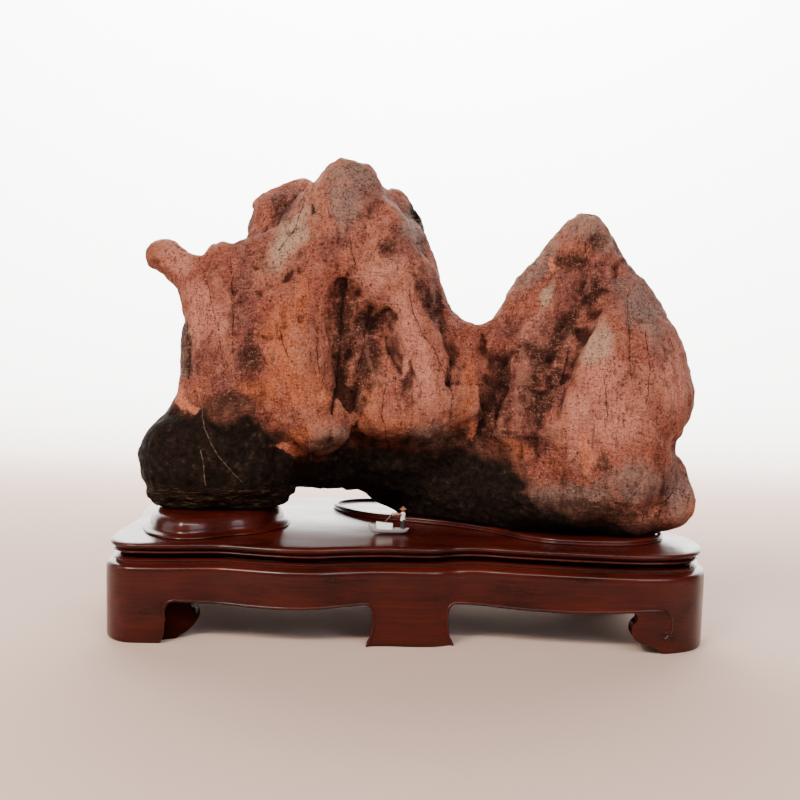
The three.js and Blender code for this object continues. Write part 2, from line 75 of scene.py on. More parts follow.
# Each fold is a run of (x, y, z, radius).
FOLDS = {
    "left foot": [(-180, -28, 143, 48), (-139, -26, 140, 46)],
    "left foot base": [(-191, -28, 117, 30), (-128, -24, 116, 29)],
    "left edge": [(-166, -26, 198, 31), (-170, -22, 240, 26), (-173, -16, 281, 22),
                  (-191, -7, 305, 17), (-212, -3, 322, 16)],
    "second fold": [(-160, -10, 321, 14), (-156, -28, 286, 19), (-148, -38, 240, 25),
                    (-144, -40, 185, 32)],
    "band fold": [(-134, -8, 324, 14), (-130, -26, 286, 18), (-124, -40, 240, 24)],
    "belly": [(-112, -10, 316, 14), (-102, -32, 282, 20), (-92, -46, 235, 27),
              (-92, -48, 192, 27)],
    "hanging lobe": [(-76, -50, 200, 20), (-66, -54, 173, 21)],
    "left core": [(-130, 5, 190, 42), (-125, 15, 260, 42), (-110, 10, 290, 30)],
    "back peak": [(-92, 30, 384, 13), (-122, 34, 368, 18), (-127, 34, 337, 20),
                  (-112, 25, 280, 34)],
    "main ridge": [(-54, 0, 403, 11), (-56, -6, 374, 21), (-66, -14, 336, 26),
                   (-76, -26, 295, 23), (-80, -36, 250, 20)],
    "left shoulder": [(-66, -2, 392, 12), (-88, -10, 352, 17), (-104, -14, 320, 18)],
    "nose": [(-36, 0, 394, 11), (-27, -14, 356, 18), (-22, -24, 326, 20), (-20, -31, 307, 16)],
    "nose edge": [(-36, -33, 309, 11), (-14, -36, 303, 15), (6, -34, 298, 16)],
    "between the ridges": [(-46, -14, 350, 18), (-46, -22, 330, 16)],
    "pink slab": [(-10, -14, 350, 15), (2, -28, 312, 16), (9, -38, 274, 16),
                  (22, -46, 236, 18), (33, -48, 202, 20), (22, -48, 187, 20)],
    "flank": [(5, 8, 342, 15), (12, -5, 312, 18), (20, -10, 280, 21)],
    "back slab": [(-11, 34, 371, 14), (0, 38, 351, 18), (3, 38, 315, 20)],
    "peak core": [(-46, 16, 362, 24), (-40, 15, 290, 46), (-40, 14, 220, 50)],
    "between peaks": [(-106, 16, 346, 20), (-86, 18, 364, 18), (-46, 18, 372, 18),
                      (-18, 24, 364, 18)],
    "inner slab": [(-24, -13, 262, 16), (-22, -25, 228, 21), (-14, -42, 190, 24)],
    "thin ridge": [(58, -12, 252, 12), (63, -28, 225, 14), (57, -40, 196, 16)],
    "saddle": [(30, 2, 246, 21), (62, 5, 242, 17), (92, -2, 250, 18)],
    "cleft floor": [(-52, -14, 250, 22), (-50, -14, 195, 28)],
    "saddle core": [(30, -10, 256, 22), (20, 8, 215, 40), (70, 10, 200, 38), (100, 10, 205, 40)],
    "under core": [(-120, -2, 165, 34), (-60, 6, 150, 38), (4, 10, 156, 44), (70, 5, 180, 44)],
    "arch back": [(-128, 56, 127, 24), (-64, 62, 127, 24), (-4, 60, 127, 26)],
    "main foot": [(-8, 34, 118, 26), (34, 30, 115, 42), (98, -6, 122, 50), (160, -20, 130, 50)],
    "mountain left": [(160, 0, 356, 14), (140, -4, 333, 15), (122, -6, 309, 16),
                      (104, -8, 283, 17), (92, -8, 262, 16)],
    "second ridge": [(170, -10, 334, 13), (147, -15, 303, 15), (127, -22, 276, 16),
                     (113, -28, 246, 17), (106, -40, 210, 19), (98, -44, 180, 20)],
    "mountain right": [(166, 0, 352, 13), (181, -5, 317, 20), (196, -12, 285, 29),
                       (214, -20, 245, 37), (222, -26, 210, 39)],
    "bulge crest": [(192, -18, 300, 12), (184, -33, 276, 20), (174, -48, 250, 27),
                    (162, -56, 215, 28), (150, -56, 176, 30)],
    "mountain core": [(160, 5, 300, 30), (155, 5, 240, 48), (150, 0, 180, 56)],
    "right bulge": [(200, -36, 242, 38), (200, -42, 200, 46), (192, -42, 150, 49)],
    "right base": [(186, -34, 128, 44), (200, -38, 112, 34)],
    "front toe": [(138, -52, 150, 22), (116, -44, 122, 24), (150, -52, 118, 26)],
    "side bump": [(244, -34, 142, 12), (244, -38, 121, 18)],
    "low lump": [(242, -44, 108, 16), (232, -42, 106, 17)],
}

# Furrows are runs of the same kind, taken away.
FURROWS = {
    "deep cleft": [(-50, -52, 312, 2), (-52, -58, 290, 7), (-54, -64, 250, 9),
                   (-57, -74, 212, 6)],
    "cleft throat": [(-50, -46, 304, 2), (-53, -50, 270, 4), (-55, -58, 225, 3)],
    "under the nose": [(-43, -56, 280, 4), (-27, -45, 271, 12), (-10, -51, 269, 7)],
    "slab seam": [(-12, -66, 258, 3), (-7, -73, 232, 3), (2, -79, 200, 2)],
    "mountain recess": [(172, -40, 306, 5), (157, -52, 270, 9), (141, -66, 236, 10),
                        (128, -78, 196, 7)],
    "valley": [(86, -40, 240, 8), (80, -57, 205, 11), (74, -68, 176, 8)],
    "lump crease": [(246, -66, 124, 1), (236, -70, 106, 3), (233, -72, 92, 3)],
    "back groove": [(-86, 52, 372, 6), (-70, 58, 330, 9), (-66, 66, 270, 8), (-70, 60, 200, 6)],
    "back valley": [(40, 58, 262, 8), (60, 62, 215, 12), (70, 72, 160, 9)],
    "back flute": [(150, 56, 300, 4), (140, 66, 240, 7), (120, 74, 180, 6)],
}

# Marks on the front are drawn on a flat sheet through the stand's middle, as (across, height).
# Each is (width, depth, points).
CRACKS = [
    (1.6, 1.6, [(-178, 299), (-169, 268), (-160, 214)]),
    (1.5, 1.4, [(-156, 321), (-152, 279), (-153, 243)]),
    (1.3, 1.2, [(-77, 262), (-75, 220)]),
    (1.8, 2.0, [(-51, 309), (-54, 270), (-57, 217), (-59, 184)]),
    (1.4, 1.4, [(-29, 278), (-34, 246), (-40, 221)]),
    (1.5, 1.8, [(-14, 253), (-7, 232), (1, 221)]),
    (1.4, 1.4, [(7, 293), (11, 272), (32, 240), (48, 201)]),
    (1.4, 1.4, [(47, 233), (46, 183)]),
    (1.5, 1.8, [(96, 209), (90, 191), (86, 173)]),
    (1.4, 1.6, [(203, 297), (205, 265), (209, 219)]),
    (1.4, 1.4, [(151, 243), (145, 214)]),
    (1.2, 1.0, [(184, 222), (189, 186)]),
    (1.3, 1.2, [(-110, 255), (-103, 233), (-96, 226)]),
    (1.6, 1.6, [(240, 92), (242, 103), (255, 118)]),
    (1.4, 1.2, [(-48, 341), (-42, 313)]),
    (1.4, 1.4, [(-90, 375), (-97, 353), (-111, 329)]),
    (1.2, 1.0, [(-135, 236), (-128, 219)]),
    (1.3, 1.2, [(-13, 218), (-16, 182), (-10, 153)]),
    (1.3, 1.0, [(162, 340), (166, 318), (160, 296)]),
    (1.2, 1.0, [(220, 262), (226, 232), (224, 200)]),
    (1.2, 1.0, [(-196, 262), (-192, 236), (-194, 212)]),
]

FAR_OFF = 40.0  # a distance past which a line leaves no mark

VEINS = [
    [(-181, 182), (-177, 164), (-166, 142), (-152, 126), (-143, 119)],
    [(-180, 145), (-178, 131), (-177, 116)],
    [(-97, 311), (-97, 280), (-94, 244), (-92, 216)],
    [(-82, 155), (-79, 139)],
    [(-188, 224), (-182, 199), (-180, 178)],
]

# Stains and painted shade: (across, height, half width, half height, lean), where lean tips the
# top to the right. The umber blots in the deep cleft, under the nose and down the mountain's
# recess and valley, and the plum blots on the mountain, are painted shade as well as stain.
STAINS_AND_SHADE = {
    "ochre": [(-106, 246, 18, 36, 0.0), (-127, 204, 22, 18, 0.0), (-84, 200, 20, 18, 0.2),
              (-100, 218, 22, 22, 0.0), (-93, 276, 9, 30, 0.0), (60, 203, 7, 30, 0.1),
              (-16, 172, 24, 12, 0.0), (-176, 215, 10, 22, 0.0), (108, 156, 14, 8, 0.8),
              (-28, 188, 10, 26, 0.0), (-90, 160, 14, 10, 0.0)],
    "orange": [(-196, 190, 8, 11, -0.3), (-99, 148, 12, 5, 0.0), (-72, 200, 10, 9, 0.4),
               (170, 150, 7, 16, 0.0), (66, 172, 6, 10, 0.4), (131, 322, 3, 8, 0.0)],
    "plum": [(-142, 286, 14, 56, -0.05), (-138, 230, 20, 22, 0.0), (24, 296, 9, 26, -0.25),
             (0, 338, 18, 20, 0.0), (160, 304, 26, 28, 0.5), (132, 250, 26, 36, 0.45),
             (104, 206, 18, 30, 0.0), (-163, 204, 18, 16, 0.0), (-105, 374, 14, 14, 0.0),
             (-34, 246, 12, 24, 0.0), (143, 215, 12, 24, 0.2), (-36, 376, 22, 16, 0.0),
             (192, 300, 14, 22, -0.2), (118, 176, 22, 22, 0.0), (190, 330, 14, 10, -0.5),
             (214, 300, 18, 26, -0.4), (230, 108, 6, 20, 0.0), (-178, 228, 16, 18, 0.0),
             (234, 252, 10, 26, 0.0), (14, 338, 14, 14, -0.3), (96, 262, 14, 14, 0.4),
             (-60, 340, 10, 20, 0.4)],
    "pale": [(-102, 341, 14, 30, 0.5), (178, 252, 12, 20, 0.2), (130, 296, 5, 12, 0.4)],
    "grey": [(166, 358, 24, 14, 0.0), (120, 322, 13, 28, 0.7), (-46, 398, 26, 13, 0.0),
             (6, 356, 9, 22, -0.3), (-60, 158, 14, 13, 0.0), (182, 342, 13, 12, 0.0),
             (216, 286, 16, 34, -0.4), (160, 110, 50, 12, -0.2), (258, 118, 16, 26, 0.0),
             (-120, 380, 22, 10, 0.3), (-200, 238, 9, 26, 0.0), (30, 163, 26, 9, 0.0),
             (-54, 372, 12, 22, 0.0), (216, 124, 26, 20, 0.0)],
    "salmon": [(4, 264, 16, 36, -0.3), (14, 222, 18, 28, -0.3), (-26, 302, 15, 17, 0.0),
               (192, 182, 32, 26, 0.0), (242, 238, 14, 28, 0.0), (-205, 318, 16, 16, 0.0),
               (-186, 270, 12, 30, 0.0), (160, 186, 12, 26, 0.2), (184, 222, 20, 24, 0.0),
               (-168, 264, 10, 18, 0.0), (118, 262, 9, 20, 0.3), (166, 150, 16, 18, 0.0),
               (250, 208, 10, 22, 0.0), (-6, 318, 12, 14, 0.0)],
    "umber": [(174, 340, 13, 10, 0.3), (150, 324, 20, 10, 0.5), (172, 296, 10, 18, 0.2),
              (150, 268, 11, 34, 0.6), (126, 238, 22, 12, 0.0), (130, 200, 9, 34, 0.25),
              (92, 220, 9, 36, 0.3), (84, 186, 12, 24, 0.0), (-54, 254, 11, 56, 0.05),
              (-29, 262, 15, 15, 0.0), (-28, 232, 13, 32, 0.1), (116, 204, 9, 26, 0.2),
              (-134, 232, 13, 15, 0.0), (-152, 192, 24, 8, 0.0), (-14, 336, 12, 9, 0.0),
              (20, 292, 6, 22, -0.3),
              (72, 166, 28, 9, 0.0), (244, 120, 6, 20, 0.0), (-196, 236, 6, 22, 0.0),
              (-110, 362, 9, 12, 0.0), (-37, 196, 8, 22, 0.0), (-66, 150, 18, 9, 0.0),
              (165, 96, 58, 10, -0.12), (186, 140, 9, 13, 0.0), (36, 274, 5, 20, -0.3)],
}

# The marks that the stone's surface carries besides its stains. The hollow mark is painted shade,
# darkening the hollows, and painted light, lightening the ridges.
OTHER_MARKS = ("hollow_shade_ridge_light", "layered", "slate", "crack_mm", "crack_near", "vein_mm", "vein_near",
               "above_black_mm")

# How strongly each stain comes back on the sides and the back.
BEHIND = {"ochre": 0.6, "orange": 0.0, "plum": 0.9, "pale": 0.3, "grey": 0.45, "salmon": 0.8,
          "umber": 0.5}

# Below this line the stone is black: (across, height). It is the stone's own black foot, and under
# the middle's overhang it is also painted shade.
BLACK_LINE = [(-260, 184), (-224, 181), (-184, 178), (-124, 170), (-112, 150), (-88, 134),
              (-66, 139), (-50, 150), (-12, 151), (27, 151), (60, 150), (96, 141), (110, 124),
              (126, 104), (151, 91), (206, 83), (242, 73), (290, 66)]

# The box that the stone is worked out in.
GRID = ((-262.0, -124.0, 76.0), (290.0, 112.0, 432.0))

# Each pair is where an effect starts and where it reaches its full strength.
STANDING = (92, 116)  # height: the weathering, which leaves the parts on the seats alone
FRONT = (34, 8)  # depth: the marks drawn on the front
BEDS_ACROSS, BEDS_HEIGHT = (-80, -92), (128, 119)  # the ledges under the left foot
SLATE_MIDDLE, SLATE_REACH = (12, 46, 360), (22, 26, 27)  # the dark scar behind the main ridge

# ------------------------------------------------------------------ the stand, as drawn

# Mouldings are (outwards from the board's edge, height), from the top down.
BOARD_EDGE = [(-9, 84), (-5, 84), (-3, 83.8), (-1.4, 83.3), (-0.3, 82.3), (0, 81.2), (-0.3, 80.2),
              (-1.2, 79.4), (-2.8, 79.0), (-4.6, 78.7), (-5.4, 78.0), (-5.2, 77.3), (-4.0, 76.9),
              (-2.9, 76.4), (-2.5, 75.8), (-2.9, 75.1), (-4.2, 74.6), (-6, 74.4)]
WAIST = [(-8, 74.4), (-8.6, 73.4), (-8.6, 71.2), (-8, 70)]
APRON = [(-5, 70), (-3.6, 70), (-2.6, 69.8), (-2.1, 69.2), (-2.4, 68.6), (-3.4, 68.1),
         (-4.0, 67.4), (-3.6, 66.6), (-2.0, 65.9), (0.4, 65.3), (2.2, 64.3), (3.1, 62.6),
         (3.5, 59.5), (3.6, 55), (3.6, 44), (3.5, 30), (3.4, 16), (3.3, 6), (3.1, 2), (2.4, 0.5),
         (1.4, 0), (0, 0)]
APRON_BACK = -12.0
SEAT_CUSHION = [(-24, 102), (-19, 102), (-16, 101.7), (-12.6, 100.4), (-9.8, 98.2),
                (-7.8, 95.2), (-6.6, 92), (-5.8, 89.4), (-4.4, 87.6), (-2.4, 86.6),
                (-0.9, 86.0), (-0.2, 85.2), (0, 84.3)]
RIM_LIP = [(-6.4, 86.4), (-5.6, 86.5), (-5.0, 87.2), (-4.6, 88.2), (-3.8, 88.8), (-2.8, 89),
           (-1.6, 88.7), (-0.8, 87.9), (-0.6, 87.0), (-1.0, 86.4), (-0.6, 86.0), (0, 85.4),
           (0, 84.3)]

# Openings between the legs, along X at the front and back and along Y at the ends: the two leg
# edges, and where an end isn't plain, its own outline of (along, height) from the floor up.
GAP_TOP = 37.0
GAP_DIP = 3.0
CURLED_LEFT = [(-197, 0), (-194, 3), (-192, 9), (-191.6, 18), (-192.4, 26), (-191.4, 32),
               (-188.5, 35.6), (-184, 36.9)]
CURLED_RIGHT = [(227, 0), (224.6, 0.9), (217, 5.2), (203, 10.3), (197, 16), (196.2, 21),
                (197.8, 25.6), (200.8, 29), (200.6, 32), (198.6, 35), (196, 36.8)]
GAPS = {
    "front left": ("front", -193, -18, CURLED_LEFT, None),
    "front right": ("front", 43, 225, None, CURLED_RIGHT),
    "back left": ("back", -190, -18, None, None),
    "back right": ("back", 43, 172, None, None),
    "left": ("left", -62, 66, None, None),
    "right": ("right", -50, 40, None, None),
}
VOLUTE_START = 196
VOLUTE = [(213, 37.4), (220, 37.1), (225.4, 35.2), (228.6, 31.5), (229.8, 26), (229.2, 20),
          (227.4, 15.6), (225, 13.2)]

# For each side: the level axis across it, how far a saw reaches, and where its face begins.
SIDES = {"front": ("y", -150, -70, -55), "back": ("y", 60, 150, 40),
         "left": ("x", -264, -200, -200), "right": ("x", 190, 290, 170)}
FACE_OUT = 3.2  # how far the aprons' faces stand out from the outline

# The curled toes: (inwards from the leg's edge, height).
TOE = [(-16, 0.2), (8, 0.2), (13, 2.5), (18.5, 5.5), (25, 11.5), (27, 17), (26, 21),
       (23, 25.5), (21.6, 30), (21.2, 36), (20, 43), (8, 44), (-16, 44)]
SMALL_TOE = [(-10, 0.2), (2, 0.4), (9, 4), (17, 8), (21, 12), (20.5, 17), (18, 20), (16, 24),
             (16.5, 28), (15, 33), (6, 36), (-10, 37)]

# Where the boat's middle rests on the board.
BOAT = np.array([-7.4, -53.0, BOARD_TOP + RESTING])


# ------------------------------------------------------------------ settings


class StoneSettings(bpy.types.PropertyGroup):
    spacing: bpy.props.FloatProperty(
        name="Surface spacing", description="Distance between the stone's surface points",
        default=0.0026, min=0.002, max=0.02, unit="LENGTH")
    melt: bpy.props.FloatProperty(
        name="Melt", description="How softly the folds run into each other",
        default=0.005, min=0.001, max=0.02, unit="LENGTH")
    fill: bpy.props.FloatProperty(
        name="Fill", description="How far the grooves between folds are filled in",
        default=0.010, min=0.003, max=0.02, unit="LENGTH")
    flute: bpy.props.FloatProperty(
        name="Flute depth", description="Depth of the fine upright flutes",
        default=0.0011, min=0.0, max=0.01, unit="LENGTH")
    lumps: bpy.props.FloatProperty(
        name="Lump height", description="Height of the weathered lumps",
        default=0.0026, min=0.0, max=0.01, unit="LENGTH")
    chips: bpy.props.FloatProperty(
        name="Chip height", description="Height of the broken facets",
        default=0.0017, min=0.0, max=0.01, unit="LENGTH")


class StandSettings(bpy.types.PropertyGroup):
    bead: bpy.props.FloatProperty(
        name="Bead radius", description="Radius of the bead round the openings",
        default=0.0014, min=0.0005, max=0.004, unit="LENGTH")
    stations: bpy.props.IntProperty(
        name="Stations", description="Stations round the stand's outline",
        default=420, min=100, max=1000)


class BoatSettings(bpy.types.PropertyGroup):
    length: bpy.props.FloatProperty(
        name="Boat length", description="Length of the miniature boat",
        default=0.036, min=0.01, max=0.06, unit="LENGTH")
    height: bpy.props.FloatProperty(
        name="Boatman height", description="Height of the miniature figure",
        default=0.020, min=0.01, max=0.04, unit="LENGTH")


class StageSettings(bpy.types.PropertyGroup):
    lens: bpy.props.FloatProperty(
        name="Lens", description="Focal length of the camera", default=56.4, min=20, max=200)
    floor: bpy.props.StringProperty(
        name="Floor colour", description="The floor's colour", default="#b89f92")


# ------------------------------------------------------------------ small tools


def colour(code):
    """A hex colour as linear red, green, blue and alpha."""
    channels = [int(code[i:i + 2], 16) / 255 for i in (1, 3, 5)]
    return [c / 12.92 if c <= 0.04045 else ((c + 0.055) / 1.055) ** 2.4 for c in channels] + [1.0]


def add(tree, kind, inputs=None, stops=None, **settings):
    """Adds a node: sockets among the inputs are linked, and anything else is a value."""
    node = tree.nodes.new(kind)
    for name, value in settings.items():
        setattr(node, name, value)
    for key, value in (inputs or {}).items():
        if isinstance(value, bpy.types.NodeSocket):
            tree.links.new(value, node.inputs[key])
        else:
            node.inputs[key].default_value = value
    if stops:
        ramp = node.color_ramp
        while len(ramp.elements) < len(stops):
            ramp.elements.new(0.5)
        for element, (place, code) in zip(ramp.elements, stops):
            element.position = place
            element.color = colour(code)
    return node


def scramble(cells, seed):
    """A random number from -1 to 1 for each whole-numbered cell."""
    c = np.asarray(cells).astype(np.int64).astype(np.uint64)
    h = c[:, 0] * np.uint64(73856093) ^ c[:, 1] * np.uint64(19349663)
    h = (h ^ c[:, 2] * np.uint64(83492791) ^ np.uint64(seed * 2654435)) & np.uint64(0xFFFFFFFF)
    for turn in (1274126177, 2246822519):
        h = ((h ^ (h >> np.uint64(13))) * np.uint64(turn)) & np.uint64(0xFFFFFFFF)
    h = h ^ (h >> np.uint64(16))
    return (h & np.uint64(0xFFFFFF)).astype(float) / 0xFFFFFF * 2 - 1


def rumple(points, size, seed, stretch=(1, 1, 1)):
    """Smooth random heights from -1 to 1 at the points, in lumps of that many millimetres."""
    p = np.asarray(points, float) / (size * np.array(stretch, float)) + seed * 17.31
    cell = np.floor(p).astype(np.int64)
    t = p - cell
    t = t * t * t * (t * (t * 6 - 15) + 10)
    total = np.zeros(len(p))
    for corner in range(8):
        step = np.array([corner & 1, (corner >> 1) & 1, (corner >> 2) & 1])
        share = np.prod(np.where(step == 1, t, 1 - t), axis=1)
        total += share * scramble(cell + step, seed)
    return total


def facets(points, size, seed, stretch=(1, 1, 1)):
    """Random tilted planes, each reaching halfway to the next, as broken stone has. Returns the
    planes' heights, about -1 to 1, and how near a point is to the line between two of them."""
    p = np.asarray(points, float) / (size * np.array(stretch, float)) + seed * 9.7
    cell = np.floor(p).astype(np.int64)
    first, second = np.full(len(p), 9.0), np.full(len(p), 9.0)
    height = np.zeros(len(p))
    for k in range(27):
        spot = cell + [k % 3 - 1, k // 3 % 3 - 1, k // 9 - 1]
        at = spot + 0.5 + 0.42 * np.stack(
            [scramble(spot, seed * 7 + c) for c in (1, 2, 3)], axis=1)
        tilt = np.stack([scramble(spot, seed * 7 + c) for c in (4, 5, 6)], axis=1)
        gone = np.linalg.norm(p - at, axis=1)
        plane = ((p - at) * tilt).sum(1) + 0.5 * scramble(spot, seed * 7 + 7)
        nearer = gone < first
        second = np.where(nearer, first, np.minimum(second, gone))
        height = np.where(nearer, plane, height)
        first = np.where(nearer, gone, first)
    return height, second - first


def ramp(value, low, high):
    """0 below low and 1 above high, or the other way round, with soft ends."""
    t = np.clip((value - low) / (high - low), 0, 1)
    return t * t * (3 - 2 * t)


def object_from(name, points, faces, smooth=True):
    """A new object from points in the drawing, in millimetres."""
    mesh = bpy.data.meshes.new(name)
    placed = (np.asarray(points, float) + DRAWN_FROM) * MM
    mesh.from_pydata(placed.tolist(), [], [list(map(int, f)) for f in faces])
    mesh.polygons.foreach_set("use_smooth", [smooth] * len(mesh.polygons))
    mesh.update()
    thing = bpy.data.objects.new(name, mesh)
    bpy.context.scene.collection.objects.link(thing)
    return thing


def finish_piece(piece, material=None, stands_for=()):
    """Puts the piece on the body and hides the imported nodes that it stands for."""
    if material is not None:
        piece.data.materials.clear()
        piece.data.materials.append(material)
    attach(piece, "root")
    if stands_for:
        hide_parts(*stands_for)
    return piece


def plain_mesh(thing, name):
    """The object with its modifiers applied, as a new plain object."""
    graph = bpy.context.evaluated_depsgraph_get()
    mesh = bpy.data.meshes.new_from_object(thing.evaluated_get(graph))
    made = bpy.data.objects.new(name, mesh)
    bpy.context.scene.collection.objects.link(made)
    old = thing.data
    bpy.data.objects.remove(thing)
    if old.users == 0 and isinstance(old, bpy.types.Mesh):
        bpy.data.meshes.remove(old)
    mesh.name = name
    return made


def faced_outwards(thing):
    """The object with all its faces turned to point outwards."""
    fix = bmesh.new()
    fix.from_mesh(thing.data)
    bmesh.ops.recalc_face_normals(fix, faces=fix.faces)
    fix.to_mesh(thing.data)
    fix.free()
    return thing


def tube_faces(rings, sides, hoop=False):
    """Faces from each ring of points to the next, and on to the first again in a hoop. An open
    tube gets a cap at each end, as its last two faces."""
    faces = []
    for k in range(rings if hoop else rings - 1):
        a, b = k * sides, (k + 1) % rings * sides
        for i in range(sides):
            j = (i + 1) % sides
            faces.append([a + i, b + i, b + j, a + j])
    if not hoop:
        last = (rings - 1) * sides
        faces += [list(range(sides)), list(range(last + sides - 1, last - 1, -1))]
    return faces


def lathe(profile, centre, sides=20):
    """Points and faces of a turned shape: (radius, height) pairs from the bottom up."""
    turn = np.linspace(0, 2 * np.pi, sides, endpoint=False)
    points = [(centre[0] + r * math.cos(a), centre[1] + r * math.sin(a), centre[2] + z)
              for r, z in profile for a in turn]
    return points, [face[:1] + face[:0:-1] for face in tube_faces(len(profile), sides)]


# ------------------------------------------------------------------ outlines and mouldings


def between(a, b, c, d, t):
    """A smooth curve from b to c, where a comes before them and d after."""
    return 0.5 * (2 * b + (c - a) * t + (2 * a - 5 * b + 4 * c - d) * t ** 2
                  + (3 * b - a - 3 * c + d) * t ** 3)


def evenly_spaced(line, count, closed):
    """Points at equal distances along the line."""
    along = np.concatenate([[0], np.cumsum(np.linalg.norm(np.diff(line, axis=0), axis=1))])
    at = np.linspace(0, along[-1], count, endpoint=not closed)
    return np.stack([np.interp(at, along, line[:, k]) for k in range(line.shape[1])], axis=1)


def closed_curve(points, count):
    """A smooth closed curve through the points, at evenly spaced stations."""
    p = np.asarray(points, float)
    fine = 12
    u = np.arange(len(p) * fine) / fine
    i = u.astype(int)
    q = between(*(p[(i + k) % len(p)] for k in (-1, 0, 1, 2)), (u - i)[:, None])
    return evenly_spaced(np.vstack([q, q[:1]]), count, closed=True)


def open_curve(points, count):
    """A smooth open curve through the points, at evenly spaced stations."""
    p = np.asarray(points, float)
    p = np.vstack([2 * p[0] - p[1], p, 2 * p[-1] - p[-2]])
    n = len(p) - 3
    fine = 10
    u = np.linspace(0, n - 1e-9, n * fine + 1)
    i = u.astype(int)
    q = between(*(p[i + k] for k in range(4)), (u - i)[:, None])
    return evenly_spaced(q, count, closed=False)


def packed_outline(node, height, count):
    """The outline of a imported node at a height, anticlockwise, in the drawing's millimetres."""
    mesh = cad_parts[node].data
    co = np.array([v.co for v in mesh.vertices]) / MM - DRAWN_FROM
    ring = np.unique(np.round(co[np.abs(co[:, 2] - height) < 0.02][:, :2], 2), axis=0)
    middle = (ring.min(0) + ring.max(0)) / 2
    turn = np.arctan2(ring[:, 1] - middle[1], ring[:, 0] - middle[0])
    return closed_curve(ring[np.argsort(turn)], count)


def moved(loop, out):
    """The loop moved outwards by a distance."""
    along = np.roll(loop, -1, axis=0) - np.roll(loop, 1, axis=0)
    along /= np.linalg.norm(along, axis=1)[:, None]
    return loop + out * np.stack([along[:, 1], -along[:, 0]], axis=1)


def moulded(name, loop, section, hoop=False):
    """Sweeps a moulding round the loop. A hoop's section closes on itself; a plate gets caps."""
    rings = [np.column_stack([moved(loop, out), np.full(len(loop), z)]) for out, z in section]
    made = object_from(name, np.vstack(rings), tube_faces(len(rings), len(loop), hoop))
    if not hoop:
        for cap in made.data.polygons[-2:]:
            cap.use_smooth = False
    return made


# ------------------------------------------------------------------ geometry nodes


def strand_tree():
    """A tree that makes a round strand along a curve, for beads, the pole and thin lines."""
    found = bpy.data.node_groups.get("round strand")
    if found:
        return found
    tree = bpy.data.node_groups.new("round strand", "GeometryNodeTree")
    face = tree.interface
    face.new_socket("Path", in_out="INPUT", socket_type="NodeSocketGeometry")
    radius = face.new_socket("Radius", in_out="INPUT", socket_type="NodeSocketFloat")
    radius.subtype = "DISTANCE"
    face.new_socket("Sides", in_out="INPUT", socket_type="NodeSocketInt")
    face.new_socket("Finish", in_out="INPUT", socket_type="NodeSocketMaterial")
    face.new_socket("Strand", in_out="OUTPUT", socket_type="NodeSocketGeometry")
    given = add(tree, "NodeGroupInput").outputs
    round_section = add(tree, "GeometryNodeCurvePrimitiveCircle",
                        {"Radius": given["Radius"], "Resolution": given["Sides"]})
    swept = add(tree, "GeometryNodeCurveToMesh", {
        "Curve": given["Path"], "Profile Curve": round_section.outputs["Curve"],
        "Fill Caps": True})
    smooth = add(tree, "GeometryNodeSetShadeSmooth", {"Geometry": swept.outputs["Mesh"]})
    real = add(tree, "GeometryNodeRealizeInstances", {"Geometry": smooth.outputs["Geometry"]})
    finished = add(tree, "GeometryNodeSetMaterial", {
        "Geometry": real.outputs["Geometry"], "Material": given["Finish"]})
    add(tree, "NodeGroupOutput", {"Strand": finished.outputs["Geometry"]})
    return tree


def strand(name, points, radius, material, sides=12, closed=False, tips=None):
    """A round strand through points in the drawing, made with geometry nodes."""
    placed = (np.asarray(points, float) + DRAWN_FROM) * MM
    curve = bpy.data.curves.new(name, "CURVE")
    curve.dimensions = "3D"
    spline = curve.splines.new("POLY")
    spline.points.add(len(placed) - 1)
    for k, (point, place) in enumerate(zip(spline.points, placed)):
        point.co = (*place, 1)
        point.radius = 1.0 if tips is None else tips[k]
    spline.use_cyclic_u = closed
    thing = bpy.data.objects.new(name, curve)
    bpy.context.scene.collection.objects.link(thing)
    tree = strand_tree()
    modifier = thing.modifiers.new("strand", "NODES")
    modifier.node_group = tree
    sockets = {s.name: s.identifier for s in tree.interface.items_tree if s.in_out == "INPUT"}
    modifier[sockets["Radius"]] = radius
    modifier[sockets["Sides"]] = sides
    modifier[sockets["Finish"]] = material
    return plain_mesh(thing, name)


# ------------------------------------------------------------------ materials


def new_material(name):
    """An empty material and its node tree."""
    material = bpy.data.materials.new(name)
    material.use_nodes = True
    material.node_tree.nodes.clear()
    return material, material.node_tree


def in_millimetres(tree):
    """Object coordinates in millimetres, so that a noise of scale 0.1 has lumps 10 mm apart."""
    place = add(tree, "ShaderNodeTexCoord").outputs["Object"]
    return add(tree, "ShaderNodeVectorMath", {0: place, 1: (1000, 1000, 1000)},
               operation="MULTIPLY").outputs[0]


def lumps(tree, mm, sizes, detail=3.0, rough=0.55, offset=0.0, turn=0.0):
    """Noise with lumps of those sizes in millimetres along X, Y and Z, turned about Y."""
    placed = add(tree, "ShaderNodeMapping", {
        "Vector": mm, "Location": (offset, offset, offset), "Rotation": (0, turn, 0),
        "Scale": [1 / size for size in sizes]})
    return add(tree, "ShaderNodeTexNoise", {
        "Vector": placed.outputs[0], "Scale": 1.0, "Detail": detail,
        "Roughness": rough}).outputs["Fac"]


def laid_over(tree, base, top, pattern, low, high, least=0.0, most=1.0, within=None):
    """The base with a second colour over it, least where the pattern is low and most where it is
    high, and only within a mask if one is given."""
    amount = add(tree, "ShaderNodeMapRange", {
        "Value": pattern, "From Min": low, "From Max": high, "To Min": least,
        "To Max": most}, interpolation_type="SMOOTHSTEP").outputs[0]
    if within is not None:
        amount = add(tree, "ShaderNodeMath", {0: amount, 1: within},
                     operation="MULTIPLY").outputs[0]
    base, top = (colour(c) if isinstance(c, str) else c for c in (base, top))
    return add(tree, "ShaderNodeMix", {0: amount, 6: base, 7: top}, data_type="RGBA").outputs[2]


